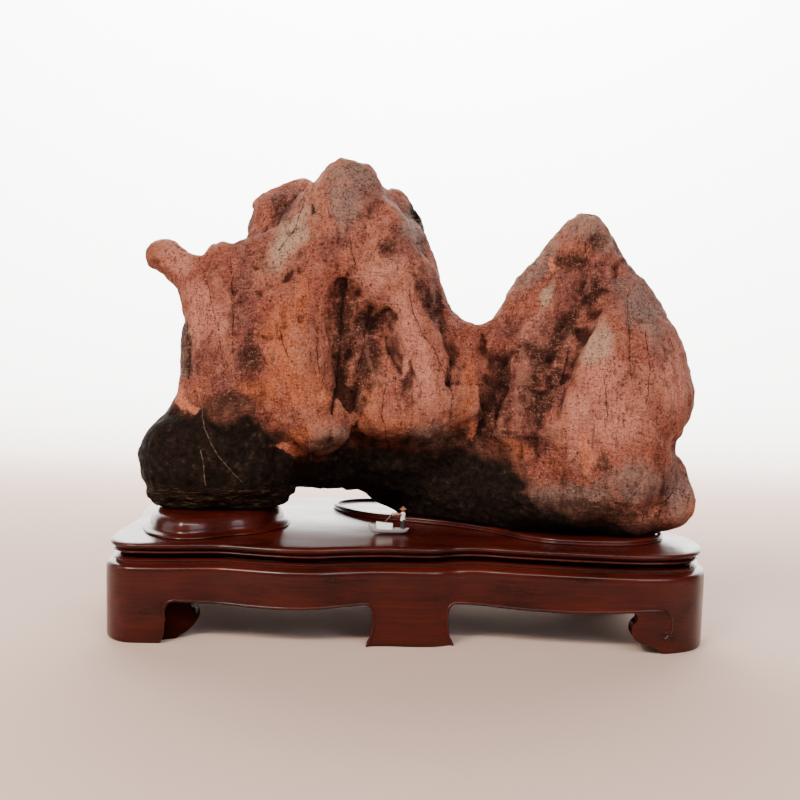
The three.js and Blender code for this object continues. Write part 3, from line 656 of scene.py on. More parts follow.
def weathered_stone():
    """Weathered silica-rich jasper-like stone, lightly waxed: a dull skin with fine pits and
    scratches, stained from plum to ochre, with a manganese-black foot and pale quartz veins. The
    hollows are darkened as painted shade and the ridges lightened as painted light, and some plum
    and umber blots and the black under the middle's overhang are painted shade."""
    material, tree = new_material("weathered_stone")
    mm = in_millimetres(tree)
    broad = lumps(tree, mm, (60, 60, 60), 2.0)
    patchy = lumps(tree, mm, (15, 15, 15), 5.0, 0.62, 40)
    blotchy = lumps(tree, mm, (6, 6, 6), 4.0, 0.65, 90)
    streaks = lumps(tree, mm, (2.6, 2.6, 20.8), 3.0, 0.6, 11)
    combed = lumps(tree, mm, (9, 9, 1.5), 3.0, 0.6, 61, 0.25)
    grain = lumps(tree, mm, (2.4, 2.4, 2.4), 5.0, 0.75, 7)
    crumbs = lumps(tree, mm, (1.2, 1.2, 1.2), 3.0, 0.7, 23)
    speck = lumps(tree, mm, (3.6, 3.6, 3.6), 2.0, 0.8, 71)
    marks = {name: add(tree, "ShaderNodeAttribute", attribute_name=name).outputs["Fac"]
             for name in (*STAINS_AND_SHADE, *OTHER_MARKS)}

    def shaken(value, pattern, amount):
        """The value moved up and down by the pattern, so that its edge is ragged."""
        moved_by = add(tree, "ShaderNodeMath", {0: pattern, 1: amount, 2: -0.5 * amount},
                       operation="MULTIPLY_ADD").outputs[0]
        return add(tree, "ShaderNodeMath", {0: value, 1: moved_by}, operation="ADD").outputs[0]

    base = add(tree, "ShaderNodeValToRGB", {"Fac": broad}, stops=[
        (0.30, "#8a4738"), (0.50, "#9f5a48"), (0.72, "#ac6a55")]).outputs[0]
    layers = [("#6e382d", patchy, 0.48, 0.72, 0, 0.55), ("#bd7f69", patchy, 0.48, 0.28, 0, 0.45)]
    # The plum and umber layers carry painted shade as well as stain.
    for name, code, strength in (
        ("salmon", "#d08672", 0.78), ("ochre", "#bb6540", 0.70), ("plum", "#70413d", 0.72),
        ("grey", "#857068", 0.74), ("pale", "#c0a28a", 0.72), ("umber", "#331b15", 0.85),
    ):
        worn = shaken(shaken(shaken(marks[name], patchy, 1.1), blotchy, 0.8), grain, 0.4)
        layers.append((code, worn, 0.15, 0.90, 0, strength))
    scored = add(tree, "ShaderNodeMapRange", {"Value": patchy, "From Min": 0.44, "From Max": 0.60},
                 interpolation_type="SMOOTHSTEP").outputs[0]
    layers += [
        ("#43201a", blotchy, 0.52, 0.72, 0, 0.5), ("#cd917a", blotchy, 0.44, 0.28, 0, 0.3),
        ("#35160f", streaks, 0.53, 0.70, 0, 0.55),
        ("#b8826c", combed, 0.55, 0.70, 0, 0.4, scored),
        ("#3a1a14", combed, 0.46, 0.34, 0, 0.55, scored),
        ("#200c09", grain, 0.53, 0.64, 0, 0.85), ("#d9a184", grain, 0.42, 0.32, 0, 0.5),
        ("#2a100b", crumbs, 0.45, 0.35, 0, 0.7), ("#e2bca2", crumbs, 0.60, 0.70, 0, 0.45),
        # Painted shade in the hollows and painted light on the ridges.
        ("#160806", marks["hollow_shade_ridge_light"], 0.1, 1.4, 0, 0.85),
        ("#c88c72", marks["hollow_shade_ridge_light"], -0.3, -1.2, 0, 0.2),
    ]
    for layer in layers:
        base = laid_over(tree, base, *layer)

    # Brown, then black, below the drawn line: the stone's black foot, and under the middle's
    # overhang painted shade.
    height_over_black_line = shaken(shaken(marks["above_black_mm"], patchy, 26), combed, 16)
    umber = laid_over(tree, base, "#3c2920", combed, 0.40, 0.60, 0.30, 0.90)
    black = add(tree, "ShaderNodeValToRGB", {"Fac": blotchy}, stops=[
        (0.38, "#140e0b"), (0.6, "#271c16"), (0.75, "#4a3a30")]).outputs[0]
    slate = laid_over(tree, "#060303", "#57453a", combed, 0.50, 0.62, 0, 0.8)
    beds = laid_over(tree, "#1d110d", "#6a5238", combed, 0.52, 0.66, 0, 0.6)
    clay = laid_over(tree, "#d47b5b", "#934c36", grain, 0.46, 0.58, 0, 0.85)
    clay = laid_over(tree, clay, "#e0b08a", crumbs, 0.56, 0.64, 0, 0.6)
    base = laid_over(tree, base, umber, height_over_black_line, 26, 6)
    base = laid_over(tree, base, black, height_over_black_line, 9, -4)
    base = add(tree, "ShaderNodeMix", {0: marks["slate"], 6: base, 7: slate},
               data_type="RGBA").outputs[2]
    base = laid_over(tree, base, beds, patchy, 0.3, 0.5, within=marks["layered"])
    base = laid_over(tree, base, clay, shaken(marks["orange"], blotchy, 1.2), 0.35, 0.65, 0, 0.8)
    for name, code, width, strength in (
        ("crack", "#1a0b08", 0.75, 0.8), ("vein", "#8b7c6e", 0.65, 0.5),
    ):
        aside = add(tree, "ShaderNodeMath", {0: shaken(marks[name + "_mm"], grain, 1.6)},
                    operation="ABSOLUTE").outputs[0]
        close = add(tree, "ShaderNodeMapRange", {
            "Value": aside, "From Min": width, "From Max": 0.3 * width},
            interpolation_type="SMOOTHSTEP").outputs[0]
        line = add(tree, "ShaderNodeMath", {0: close, 1: marks[name + "_near"]},
                   operation="MULTIPLY").outputs[0]
        base = laid_over(tree, base, code, speck, 0.40, 0.52, 0.1, strength, line)

    rough = add(tree, "ShaderNodeMapRange", {
        "Value": patchy, "From Min": 0.3, "From Max": 0.7, "To Min": 0.55, "To Max": 0.80},
        interpolation_type="SMOOTHSTEP").outputs[0]
    height = 0.0
    for pattern, weight in ((streaks, 0.9), (grain, 1.1), (crumbs, 0.4), (blotchy, 1.4),
                            (combed, 0.5)):
        height = add(tree, "ShaderNodeMath", {0: pattern, 1: weight, 2: height},
                     operation="MULTIPLY_ADD").outputs[0]
    relief = add(tree, "ShaderNodeBump", {"Height": height, "Strength": 0.9, "Distance": 0.0040})
    shader = add(tree, "ShaderNodeBsdfPrincipled", {
        "Base Color": base, "Roughness": rough, "Normal": relief.outputs[0],
        "Specular IOR Level": 0.05})
    add(tree, "ShaderNodeOutputMaterial", {"Surface": shader.outputs[0]})
    return material


def lacquered_redwood(name="lacquered_redwood", shade=1.0, coat=0.30, sheen=0.10):
    """Dense dark red hardwood under a clear gloss lacquer: straight grain along the stand, small
    dark pores and a smooth coat."""
    material, tree = new_material(name)
    mm = in_millimetres(tree)

    clouds = lumps(tree, mm, (90, 30, 22), 2.0, 0.6)
    grain = lumps(tree, mm, (70, 3.5, 1.6), 4.0, 0.6, 9)
    pores = lumps(tree, mm, (9, 0.9, 0.5), 2.0, 0.6, 31)
    body = add(tree, "ShaderNodeValToRGB", {"Fac": grain}, stops=[
        (0.32, "#1f0503"), (0.5, "#2e0905"), (0.66, "#431109")]).outputs[0]
    tint = add(tree, "ShaderNodeValToRGB", {"Fac": clouds}, stops=[
        (0.35, "#1f0604"), (0.65, "#4c150a")]).outputs[0]
    body = add(tree, "ShaderNodeMix", {0: 0.45, 6: body, 7: tint}, data_type="RGBA").outputs[2]
    pore = add(tree, "ShaderNodeMapRange", {
        "Value": pores, "From Min": 0.6, "From Max": 0.72, "To Max": 0.4}).outputs[0]
    body = add(tree, "ShaderNodeMix", {0: pore, 6: body, 7: colour("#160504")},
               data_type="RGBA").outputs[2]
    # A shade below one darkens the wood towards near black, as painted shade.
    body = add(tree, "ShaderNodeMix", {0: shade, 6: colour("#080202"), 7: body},
               data_type="RGBA").outputs[2]
    rough = add(tree, "ShaderNodeMapRange", {
        "Value": clouds, "From Min": 0.3, "From Max": 0.7, "To Min": 0.26,
        "To Max": 0.40}).outputs[0]
    relief = add(tree, "ShaderNodeBump", {"Height": grain, "Strength": 0.12, "Distance": 0.0004})
    shader = add(tree, "ShaderNodeBsdfPrincipled", {
        "Base Color": body, "Roughness": rough, "Normal": relief.outputs[0],
        "Specular IOR Level": sheen, "Coat Weight": coat, "Coat Roughness": 0.15,
        "Coat IOR": 1.5})
    add(tree, "ShaderNodeOutputMaterial", {"Surface": shader.outputs[0]})
    return material


def painted_clay(name, code, rough=0.35):
    """Small fired clay figures under glaze: smooth, with slight mottling in the colour."""
    material, tree = new_material(name)
    mm = in_millimetres(tree)
    mottle = add(tree, "ShaderNodeTexNoise", {"Vector": mm, "Scale": 0.7, "Detail": 3.0})
    darker = add(tree, "ShaderNodeMix", {
        0: 1.0, 6: colour(code), 7: colour("#c9c4bd")}, data_type="RGBA",
        blend_type="MULTIPLY").outputs[2]
    amount = add(tree, "ShaderNodeMapRange", {
        "Value": mottle.outputs["Fac"], "From Min": 0.4, "From Max": 0.65}).outputs[0]
    body = add(tree, "ShaderNodeMix", {0: amount, 6: colour(code), 7: darker},
               data_type="RGBA").outputs[2]
    shader = add(tree, "ShaderNodeBsdfPrincipled", {
        "Base Color": body, "Roughness": rough, "Coat Weight": 0.4, "Coat Roughness": 0.15})
    add(tree, "ShaderNodeOutputMaterial", {"Surface": shader.outputs[0]})
    return material


def material_for(name, make, *details):
    """The material of that name, made the first time that it's asked for."""
    return bpy.data.materials.get(name) or make(*details)


def redwood():
    """The polished wood of the board, the seats and the aprons."""
    return material_for("lacquered_redwood", lacquered_redwood)


def shaded_redwood():
    """The same wood darkened as painted shade and hardly polished, in the deep groove under the
    board.
    """
    return material_for("shaded_redwood", lacquered_redwood, "shaded_redwood", 0.15, 0.04, 0.0)


def dull_redwood():
    """The same wood on the toes and the sawn faces by them, darkened as painted shade and hardly
    polished.
    """
    return material_for("dull_redwood", lacquered_redwood, "dull_redwood", 0.40, 0.05, 0.0)


# ------------------------------------------------------------------ the stone


def distance_to_run(run, x, y, z):
    """Distance in millimetres from points to the skin of a run of tapering rods."""
    nearest = None
    for (ax, ay, az, ar), (bx, by, bz, br) in zip(run, run[1:]):
        dx, dy, dz = bx - ax, by - ay, bz - az
        t = ((x - ax) * dx + (y - ay) * dy + (z - az) * dz) / (dx * dx + dy * dy + dz * dz)
        t = np.clip(t, 0, 1)
        gone = np.sqrt((x - ax - t * dx) ** 2 + (y - ay - t * dy) ** 2 + (z - az - t * dz) ** 2)
        gone -= ar + t * (br - ar)
        nearest = gone if nearest is None else np.minimum(nearest, gone)
    return nearest


def inside_loop(x, y, loop):
    """True where a point of the level grid is inside the closed loop."""
    inside = np.zeros(np.broadcast(x, y).shape, bool)
    for (ax, ay), (bx, by) in zip(loop, np.roll(loop, -1, axis=0)):
        if ay == by:
            continue
        crosses = ((ay > y) != (by > y)) & (x < (bx - ax) * (y - ay) / (by - ay) + ax)
        inside ^= crosses
    return inside


def blurred(values, spread):
    """The values averaged over a bell-shaped window, spread in grid steps."""
    reach = int(3 * spread)
    bell = np.exp(-0.5 * (np.arange(-reach, reach + 1) / spread) ** 2)
    bell = (bell / bell.sum()).astype(np.float32)
    for axis in range(3):
        ends = [(0, 0)] * 3
        ends[axis] = (reach, reach)
        padded = np.pad(values, ends, mode="edge")
        values = np.zeros_like(values)
        for k, weight in enumerate(bell):
            part = [slice(None)] * 3
            part[axis] = slice(k, k + values.shape[axis])
            values += weight * padded[tuple(part)]
    return values


def softly_joined(a, b, soft):
    """The smaller of two fields, with a rounded join."""
    mix = np.clip(0.5 + (b - a) / (2 * soft), 0, 1)
    return b + (a - b) * mix - soft * mix * (1 - mix)


def stone_field(low, counts, cell, melt, fill):
    """Values on a grid, negative inside the stone."""
    axes = [low[k] + cell * np.arange(counts[k]) for k in range(3)]
    melted = np.zeros(counts, np.float32)
    reach = 6 * melt

    def block(run):
        """The part of the grid that the run can touch."""
        p = np.array(run)
        ends = []
        for k in range(3):
            a = (p[:, k] - p[:, 3]).min() - reach
            b = (p[:, k] + p[:, 3]).max() + reach
            ends.append(slice(max(0, int((a - low[k]) / cell)),
                              min(counts[k], int((b - low[k]) / cell) + 2)))
        return tuple(ends)

    def away(run, part):
        """How far that part of the grid is from the run's skin."""
        x, y, z = (axes[k][part[k]].astype(np.float32) for k in range(3))
        return distance_to_run(run, x[:, None, None], y[None, :, None], z[None, None, :])

    for run in FOLDS.values():
        part = block(run)
        melted[part] += np.exp(-away(run, part) / melt)
    field = -melt * np.log(melted + 1e-9)
    # Joined with its own blurred shape, grown by 0.4 mm, so that narrow grooves fill in.
    eased = blurred(field, fill / cell)
    field = 0.8 * softly_joined(field, eased - 0.4, melt * 0.5) + 0.2 * eased
    for run in FURROWS.values():
        part = block(run)
        field[part] = -softly_joined(-field[part], away(run, part), melt * 1.4)

    x, y, z = axes[0][:, None], axes[1][None, :], axes[2]
    floor = np.where(x < LEFT_SEAT_END, LEFT_SEAT_TOP, BOARD_TOP) + RESTING + 0 * y
    rim = moved(packed_outline("main_seat_rim", RIM_WALL, 180), -RIM_WIDTH)
    off_the_rim = (x > RIM_START) & ~inside_loop(x, y, rim)
    floor = np.where(off_the_rim, RIM_TOP + 2 * RESTING, floor)
    return np.maximum(field, floor[:, :, None] - z[None, None, :])


def surface_net(values, low, cell):
    """Points and quads of the surface where the values cross zero."""
    inside = values < 0
    nx, ny, nz = values.shape
    tally = np.zeros((nx - 1, ny - 1, nz - 1), np.int8)
    corners = [(c & 1, (c >> 1) & 1, (c >> 2) & 1) for c in range(8)]
    for a, b, c in corners:
        tally += inside[a:nx - 1 + a, b:ny - 1 + b, c:nz - 1 + c]
    active = np.argwhere((tally > 0) & (tally < 8))
    number = np.full(tally.shape, -1, np.int64)
    number[tuple(active.T)] = np.arange(len(active))
    v = np.stack([values[active[:, 0] + a, active[:, 1] + b, active[:, 2] + c]
                  for a, b, c in corners], axis=1).astype(float)
    place = np.zeros((len(active), 3))
    crossings = np.zeros(len(active))
    for p in range(8):
        for q in range(p + 1, 8):
            step = np.array(corners[q]) - np.array(corners[p])
            if np.abs(step).sum() != 1:
                continue
            hit = (v[:, p] < 0) != (v[:, q] < 0)
            t = np.where(hit, v[:, p] / np.where(hit, v[:, p] - v[:, q], 1), 0)
            place[hit] += (np.array(corners[p]) + t[:, None] * step)[hit]
            crossings += hit
    points = np.array(low) + cell * (active + place / crossings[:, None])
    faces = []
    for axis in range(3):
        u, w = (axis + 1) % 3, (axis + 2) % 3
        here = [slice(1, -1)] * 3
        there = list(here)
        there[axis] = slice(2, None)
        a, b = inside[tuple(here)], inside[tuple(there)]
        edge = np.argwhere(a != b) + 1
        starts = inside[tuple(edge.T)]

        def cell_at(du, dw):
            at = edge.copy()
            at[:, u] -= du
            at[:, w] -= dw
            return number[tuple(at.T)]

        quad = np.stack([cell_at(1, 1), cell_at(0, 1), cell_at(0, 0), cell_at(1, 0)], axis=1)
        quad[~starts] = quad[~starts][:, ::-1]
        faces.append(quad)
    return points, np.vstack(faces)


def largest_shell(points, faces):
    """Keeps only the largest connected part of the surface."""
    label = np.arange(len(points))
    while True:
        low = label[faces].min(axis=1)
        fresh = label.copy()
        for c in range(4):
            np.minimum.at(fresh, faces[:, c], low)
        fresh = fresh[fresh]
        if (fresh == label).all():
            break
        label = fresh
    names, sizes = np.unique(label[faces[:, 0]], return_counts=True)
    kept = label == names[sizes.argmax()]
    number = np.cumsum(kept) - 1
    return points[kept], number[faces[kept[faces[:, 0]]]]


def averager(faces, count):
    """A function that gives each point the mean of its neighbours' values."""
    edges = np.vstack([faces[:, [k, (k + 1) % 4]] for k in range(4)])
    edges = np.unique(np.sort(edges, axis=1), axis=0)
    a = np.concatenate([edges[:, 0], edges[:, 1]])
    b = np.concatenate([edges[:, 1], edges[:, 0]])
    share = np.bincount(a, minlength=count).astype(float)

    def mean(values):
        values = np.asarray(values, float)
        if values.ndim == 1:
            return np.bincount(a, values[b], count) / share
        return np.stack([np.bincount(a, values[b, k], count) / share
                         for k in range(values.shape[1])], axis=1)

    return mean


def outward(points, faces):
    """Smooth outward directions at the points."""
    p = points[faces]
    n = np.cross(p[:, 2] - p[:, 0], p[:, 3] - p[:, 1])
    total = np.stack([
        sum(np.bincount(faces[:, c], n[:, k], len(points)) for c in range(4)) for k in range(3)
    ], axis=1)
    return total / (np.linalg.norm(total, axis=1)[:, None] + 1e-9)


def as_drawn(points):
    """Where the points lie on the flat sheet that the front's marks are drawn on."""
    t = (0 - EYE[1]) / (points[:, 1] - EYE[1])
    return np.stack([EYE[0] + (points[:, 0] - EYE[0]) * t,
                     EYE[2] + (points[:, 2] - EYE[2]) * t], axis=1)


def distance_to_line(line, at):
    """Distance from each place to a line of straight stretches."""
    nearest = np.full(len(at), 1e3)
    for a, b in zip(np.array(line, float), np.array(line[1:], float)):
        d = b - a
        t = np.clip(((at - a) @ d) / (d @ d), 0, 1)
        nearest = np.minimum(nearest, np.linalg.norm(at - a - t[:, None] * d, axis=1))
    return nearest


def beside_lines(lines, at):
    """For each point, the signed distance to the nearest of some upright lines, so that it can
    be blended between points without blurring the line, and how close that line is."""
    offset = np.full(len(at), FAR_OFF)
    for line in lines:
        x, z = np.array(sorted(line, key=lambda point: point[1]), float).T
        slope = math.hypot(x[-1] - x[0], z[-1] - z[0]) / (z[-1] - z[0])
        aside = (at[:, 0] - np.interp(at[:, 1], z, x)) / slope
        past = np.maximum(np.maximum(at[:, 1] - z[-1], z[0] - at[:, 1]), 0)
        aside = np.where(past < 3, aside, FAR_OFF)
        offset = np.where(abs(aside) < abs(offset), aside, offset)
    return offset, ramp(abs(offset), 7, 3)


def drift(points, size, *seeds):
    """A smooth random move for each point, with one seed for each direction."""
    return np.stack([rumple(points, size, seed) for seed in seeds], axis=1)


def weather(points, faces, settings):
    """Moves the stone's points as weather would, and returns them with their marks."""
    mean = averager(faces, len(points))
    for _ in range(2):
        points = points + 0.5 * (mean(points) - points)
    bend = drift(points, 42, 1, 2, 3) + 0.6 * drift(points, 19, 4, 5, 6)
    standing = ramp(points[:, 2], *STANDING)
    points = points + bend * (settings.lumps / MM * standing)[:, None]

    out = outward(points, faces)
    seen = as_drawn(points)
    wander = drift(points, 15, 21, 22) + 0.5 * drift(points, 6, 23, 24)
    wavering = seen + 1.3 * wander
    front = ramp(points[:, 1], *FRONT)

    broad, broad_edge = facets(points, 30, 1, (1, 1, 1.7))
    small, small_edge = facets(points + 3 * wander[:, [0, 1, 0]], 11, 2, (1, 1, 1.6))
    flutes = rumple(points, 6, 31, (1, 1, 8)) + 0.6 * rumple(points, 13, 32, (1, 1, 5))
    fine = rumple(points, 7, 33) + 0.7 * rumple(points, 4, 34)
    chip = settings.chips / MM
    push = settings.flute / MM * (flutes + 0.5 * fine)
    push += chip * (broad - 0.4 * ramp(broad_edge, 0.10, 0.0))
    push += 0.45 * chip * (small - 0.35 * ramp(small_edge, 0.12, 0.0))
    ledges = rumple(points, 3.4, 41, (14, 14, 1)) + 0.6 * rumple(points, 5.5, 42, (3, 3, 1))
    layered = ramp(points[:, 0], *BEDS_ACROSS) * ramp(points[:, 2], *BEDS_HEIGHT)
    push += 1.5 * layered * ledges

    for width, depth, line in CRACKS:
        away = distance_to_line(line, wavering) + FAR_OFF * (1 - front)
        push -= depth * np.exp(-(away / (1.3 * width)) ** 2)
    crack, crack_near = beside_lines([line for _, _, line in CRACKS], wavering)
    vein, vein_near = beside_lines(VEINS, wavering)
    points = points + out * (push * standing)[:, None]
    points = points + 0.25 * (mean(points) - points)

    near_rounds, far_rounds = 8, 40
    far = points
    for done in range(1, far_rounds + 1):
        far = mean(far)
        if done == near_rounds:
            near = far
    out = outward(points, faces)
    # How far the surface sinks, for painting shade into the hollows and light onto the ridges.
    hollow_shade_ridge_light = 0.5 * ((near - points) * out).sum(1) + 0.22 * ((far - points) * out).sum(1)

    marks = {"hollow_shade_ridge_light": hollow_shade_ridge_light, "layered": layered, "crack_mm": crack, "vein_mm": vein,
             "crack_near": crack_near * front, "vein_near": vein_near * front}
    slate = (points - SLATE_MIDDLE) / SLATE_REACH + 0.15 * wander[:, [0, 1, 0]]
    marks["slate"] = ramp(np.linalg.norm(slate, axis=1), 1.15, 0.85)
    seen = seen + 5 * wander
    for name, blots in STAINS_AND_SHADE.items():
        weight = np.zeros(len(points))
        for x, z, half_w, half_h, lean in blots:
            dz = seen[:, 1] - z
            dx = seen[:, 0] - x - lean * dz
            gone = np.sqrt((dx / half_w) ** 2 + (dz / half_h) ** 2)
            weight = np.maximum(weight, ramp(gone, 1.8, 0.1))
        seed = 50 + len(name)
        behind = ramp(rumple(points, 48, seed) + 0.4 * rumple(points, 19, seed + 1), 0.0, 0.7)
        marks[name] = weight * front + BEHIND[name] * behind * (1 - front)
    line = np.array(BLACK_LINE, float)
    height = np.interp(seen[:, 0], line[:, 0], line[:, 1]) + 5 * rumple(points, 23, 61)
    marks["above_black_mm"] = seen[:, 1] - height
    return points, marks


class STONE_OT_make(bpy.types.Operator):
    """Makes the weathered stone from its folds and furrows"""

    bl_idname = "rock.make_stone"
    bl_label = "Make the stone"

    def execute(self, context):
        settings = context.scene.rock_stone
        cell = settings.spacing / MM
        low, high = map(np.array, GRID)
        counts = tuple(int(n) for n in np.ceil((high - low) / cell) + 1)
        values = stone_field(low, counts, cell, settings.melt / MM, settings.fill / MM)
        points, faces = surface_net(values, low, cell)
        points, faces = largest_shell(points, faces)
        points, marks = weather(points, faces, settings)
        rock = object_from("stone", points, faces)
        for name, weights in marks.items():
            attribute = rock.data.attributes.new(name, "FLOAT", "POINT")
            attribute.data.foreach_set("value", weights.astype(np.float32))
        finish_piece(rock, weathered_stone(), ["rock"])
        return {"FINISHED"}


# ------------------------------------------------------------------ the stand


def opening(left, right, left_end=None, right_end=None, steps=10):
    """The outline between two legs, as (along, height), from foot to foot."""
    corner, flare, foot = 8.0, 6.0, 8
    middle, high, bend = (left + right) / 2, GAP_TOP, GAP_TOP * 0.62

    def bow(a, b, c):
        """A bow from a to c that b pulls towards itself."""
        t = np.linspace(0, 1, steps)[:, None]
        a, b, c = map(np.array, (a, b, c))
        return (1 - t) ** 2 * a + 2 * t * (1 - t) * b + t * t * c

    def end(edge, way):
        """From the floor up to where the edge meets the top."""
        up = bow((edge + way * flare, 0), (edge, foot), (edge, bend))
        over = bow((edge, bend), (edge, high), (edge + way * corner, high))
        return np.vstack([up, over[1:]])

    first = end(left, 1) if left_end is None else open_curve(left_end, 30)
    last = end(right, -1) if right_end is None else open_curve(right_end, 40)
    top = bow(first[-1], (middle, high - 2 * GAP_DIP), last[-1])
    return np.vstack([first, top[1:-1], last[::-1]])


def prism(name, outline, low, high, axis):
    """An outline of (along, height) made solid between two levels of the other level axis."""
    n = len(outline)
    if axis == "y":
        near = [(a, low, z) for a, z in outline]
        far = [(a, high, z) for a, z in outline]
    else:
        near = [(low, a, z) for a, z in outline]
        far = [(high, a, z) for a, z in outline]
    faces = [(i, (i + 1) % n, n + (i + 1) % n, n + i) for i in range(n)]
    faces += [list(reversed(range(n))), [n + i for i in range(n)]]
    return faced_outwards(object_from(name, near + far, faces, smooth=False))


def cut_openings(skirt):
    """Saws the gaps between the legs out of the skirt."""
    saws = []
    for side, *gap in GAPS.values():
        outline = opening(*gap)
        outline = np.vstack([[outline[0][0], -5], outline, [outline[-1][0], -5]])
        axis, low, high, _ = SIDES[side]
        saws.append(prism(f"saw_{len(saws)}", outline, low, high, axis))
        # The sawn faces take the wood darkened as painted shade.
        saws[-1].data.materials.append(dull_redwood())
        cut = skirt.modifiers.new("opening", "BOOLEAN")
        cut.operation, cut.solver, cut.object = "DIFFERENCE", "EXACT", saws[-1]
        cut.material_mode = "TRANSFER"
    made = plain_mesh(skirt, "carved_apron_and_legs")
    for saw in saws:
        bpy.data.objects.remove(saw)
    return made


def smooth_by_angle(piece, degrees=32):
    """Smooth shading except where faces meet at more than the angle."""
    mesh = piece.data
    mesh.polygons.foreach_set("use_smooth", [True] * len(mesh.polygons))
    sharp = bmesh.new()
    sharp.from_mesh(mesh)
    for edge in sharp.edges:
        edge.smooth = len(edge.link_faces) == 2 and edge.calc_face_angle(0) < math.radians(degrees)
    sharp.to_mesh(mesh)
    sharp.free()
    return piece


class STAND_OT_board(bpy.types.Operator):
    """Makes the board with its beaded edge, and the waist under it"""

    bl_idname = "rock.make_board"
    bl_label = "Make the board"

    def execute(self, context):
        stations = context.scene.rock_stand.stations
        loop = packed_outline("stand_board", BOARD_WIDEST, stations)
        board = moulded("board", loop, open_curve(BOARD_EDGE, 44))
        finish_piece(board, redwood(), ["stand_board"])
        section = open_curve(WAIST, 8).tolist() + [[-18, 70], [-18, 74.4]]
        waist = moulded("waist", loop, section, hoop=True)
        smooth_by_angle(waist)
        # The waist groove takes the wood darkened as painted shade.
        finish_piece(waist, shaded_redwood(), ["stand_waist"])
        return {"FINISHED"}


class STAND_OT_seats(bpy.types.Operator):
    """Makes the cushion-like seat of the left foot and the rim round the main foot"""

    bl_idname = "rock.make_seats"
    bl_label = "Make the seats"

    def execute(self, context):
        loop = packed_outline("left_seat", BOARD_TOP + RESTING, 220)
        seat = moulded("left_seat_cushion", loop, open_curve(SEAT_CUSHION, 40))
        finish_piece(seat, redwood(), ["left_seat"])
        loop = packed_outline("main_seat_rim", RIM_WALL, 320)
        for _ in range(30):
            loop = 0.5 * loop + 0.25 * (np.roll(loop, 1, axis=0) + np.roll(loop, -1, axis=0))
        rim = moulded("main_seat_lip", loop, open_curve(RIM_LIP, 34))
        finish_piece(rim, redwood(), ["main_seat_rim"])
        return {"FINISHED"}


def on_the_face(loop, outline, side):
    """An outline of (along, height) laid on the apron's face on one side of the stand."""
    outline = np.asarray(outline, float)
    face = moved(loop, FACE_OUT)
    axis, _, _, limit = SIDES[side]
    along = "yx".index(axis)
    part = face[face[:, 1 - along] * np.sign(limit) > abs(limit)]
    part = part[np.argsort(part[:, along])]
    across = np.interp(outline[:, 0], part[:, along], part[:, 1 - along])
    sides = [outline[:, 0], across] if along == 0 else [across, outline[:, 0]]
    return np.stack([*sides, outline[:, 1]], axis=1)


class STAND_OT_aprons(bpy.types.Operator):
    """Makes the aprons and legs, the beads round their openings and the curled toes"""

    bl_idname = "rock.make_aprons"
    bl_label = "Make the aprons and legs"

    def execute(self, context):
        settings = context.scene.rock_stand
        loop = packed_outline("stand_board", BOARD_WIDEST, settings.stations)
        section = open_curve(APRON, 60).tolist()
        section += [[APRON_BACK + 1, 0], [APRON_BACK, 1], [APRON_BACK, 69], [APRON_BACK + 1, 70]]
        skirt = moulded("skirt", loop, section, hoop=True)
        skirt.data.materials.append(redwood())
        skirt = cut_openings(skirt)
        smooth_by_angle(skirt)
        finish_piece(skirt, None, [
            "apron_front", "apron_back", "apron_left", "apron_right", "leg_front_left",
            "leg_front_right", "leg_back_left", "leg_back_right"])
        for name, (side, *gap) in GAPS.items():
            outline = opening(*gap, steps=16)
            if name == "front right":
                plain = outline[outline[:, 0] < VOLUTE_START]
                outline = np.vstack([plain, open_curve(VOLUTE, 30)])
            if name == "front left":
                by_the_toe = (outline[:, 0] <= -185) & (outline[:, 1] <= 19)
                outline = outline[~by_the_toe]
            outline[:, 1] = np.maximum(outline[:, 1], settings.bead / MM)
            line = on_the_face(loop, outline, side)
            bead = strand("bead_" + name.replace(" ", "_"), line, settings.bead, redwood(),
                          sides=14)
            finish_piece(bead)
        self.volute(loop)
        self.toes()
        return {"FINISHED"}

    def volute(self, loop):
        """The round end of the right leg's bead."""
        middle = on_the_face(loop, [VOLUTE[-1]], "front")[0]
        radius, pole = 2.0, 0.08
        points, faces = lathe([(radius * math.sin(a), -radius * math.cos(a))
                               for a in np.linspace(pole, math.pi - pole, 12)], (0, 0, 0), 24)
        knob = object_from("volute_eye", np.array(points)[:, [0, 2, 1]] * [1, -1, 1]
                           + middle + [0, 0.6, 0], faces)
        finish_piece(knob, redwood())

    def toes(self):
        """The toes, set back behind the legs' edges and leaning in under the stand."""
        for name, outline, edge, way, low, high, lean in (
            ("toe_front_left", TOE, -195, 1, -107, -88, 0.45),
            ("toe_front_right", SMALL_TOE, 227, -1, -102, -78, 0.2),
            ("toe_back_left", TOE, -192, 1, 74, 95, -0.3),
            ("toe_back_right", SMALL_TOE, 174, -1, 53, 72, -0.3),
        ):
            shape = open_curve([(edge + way * a, z) for a, z in outline], 60)
            toe = prism(name, shape, low, high, "y")
            for vertex in toe.data.vertices:
                inwards = max(0, way * (vertex.co.x / MM - DRAWN_FROM[0] - edge))
                vertex.co.y += lean * inwards * MM
            round_off = toe.modifiers.new("rounding", "BEVEL")
            round_off.width, round_off.segments = 2.4 * MM, 4
            round_off.limit_method, round_off.angle_limit = "ANGLE", math.radians(50)
            toe = plain_mesh(toe, name)
            smooth_by_angle(toe, 35)
            # The toes take the wood darkened as painted shade.
            finish_piece(toe, dull_redwood())


# ------------------------------------------------------------------ the boat

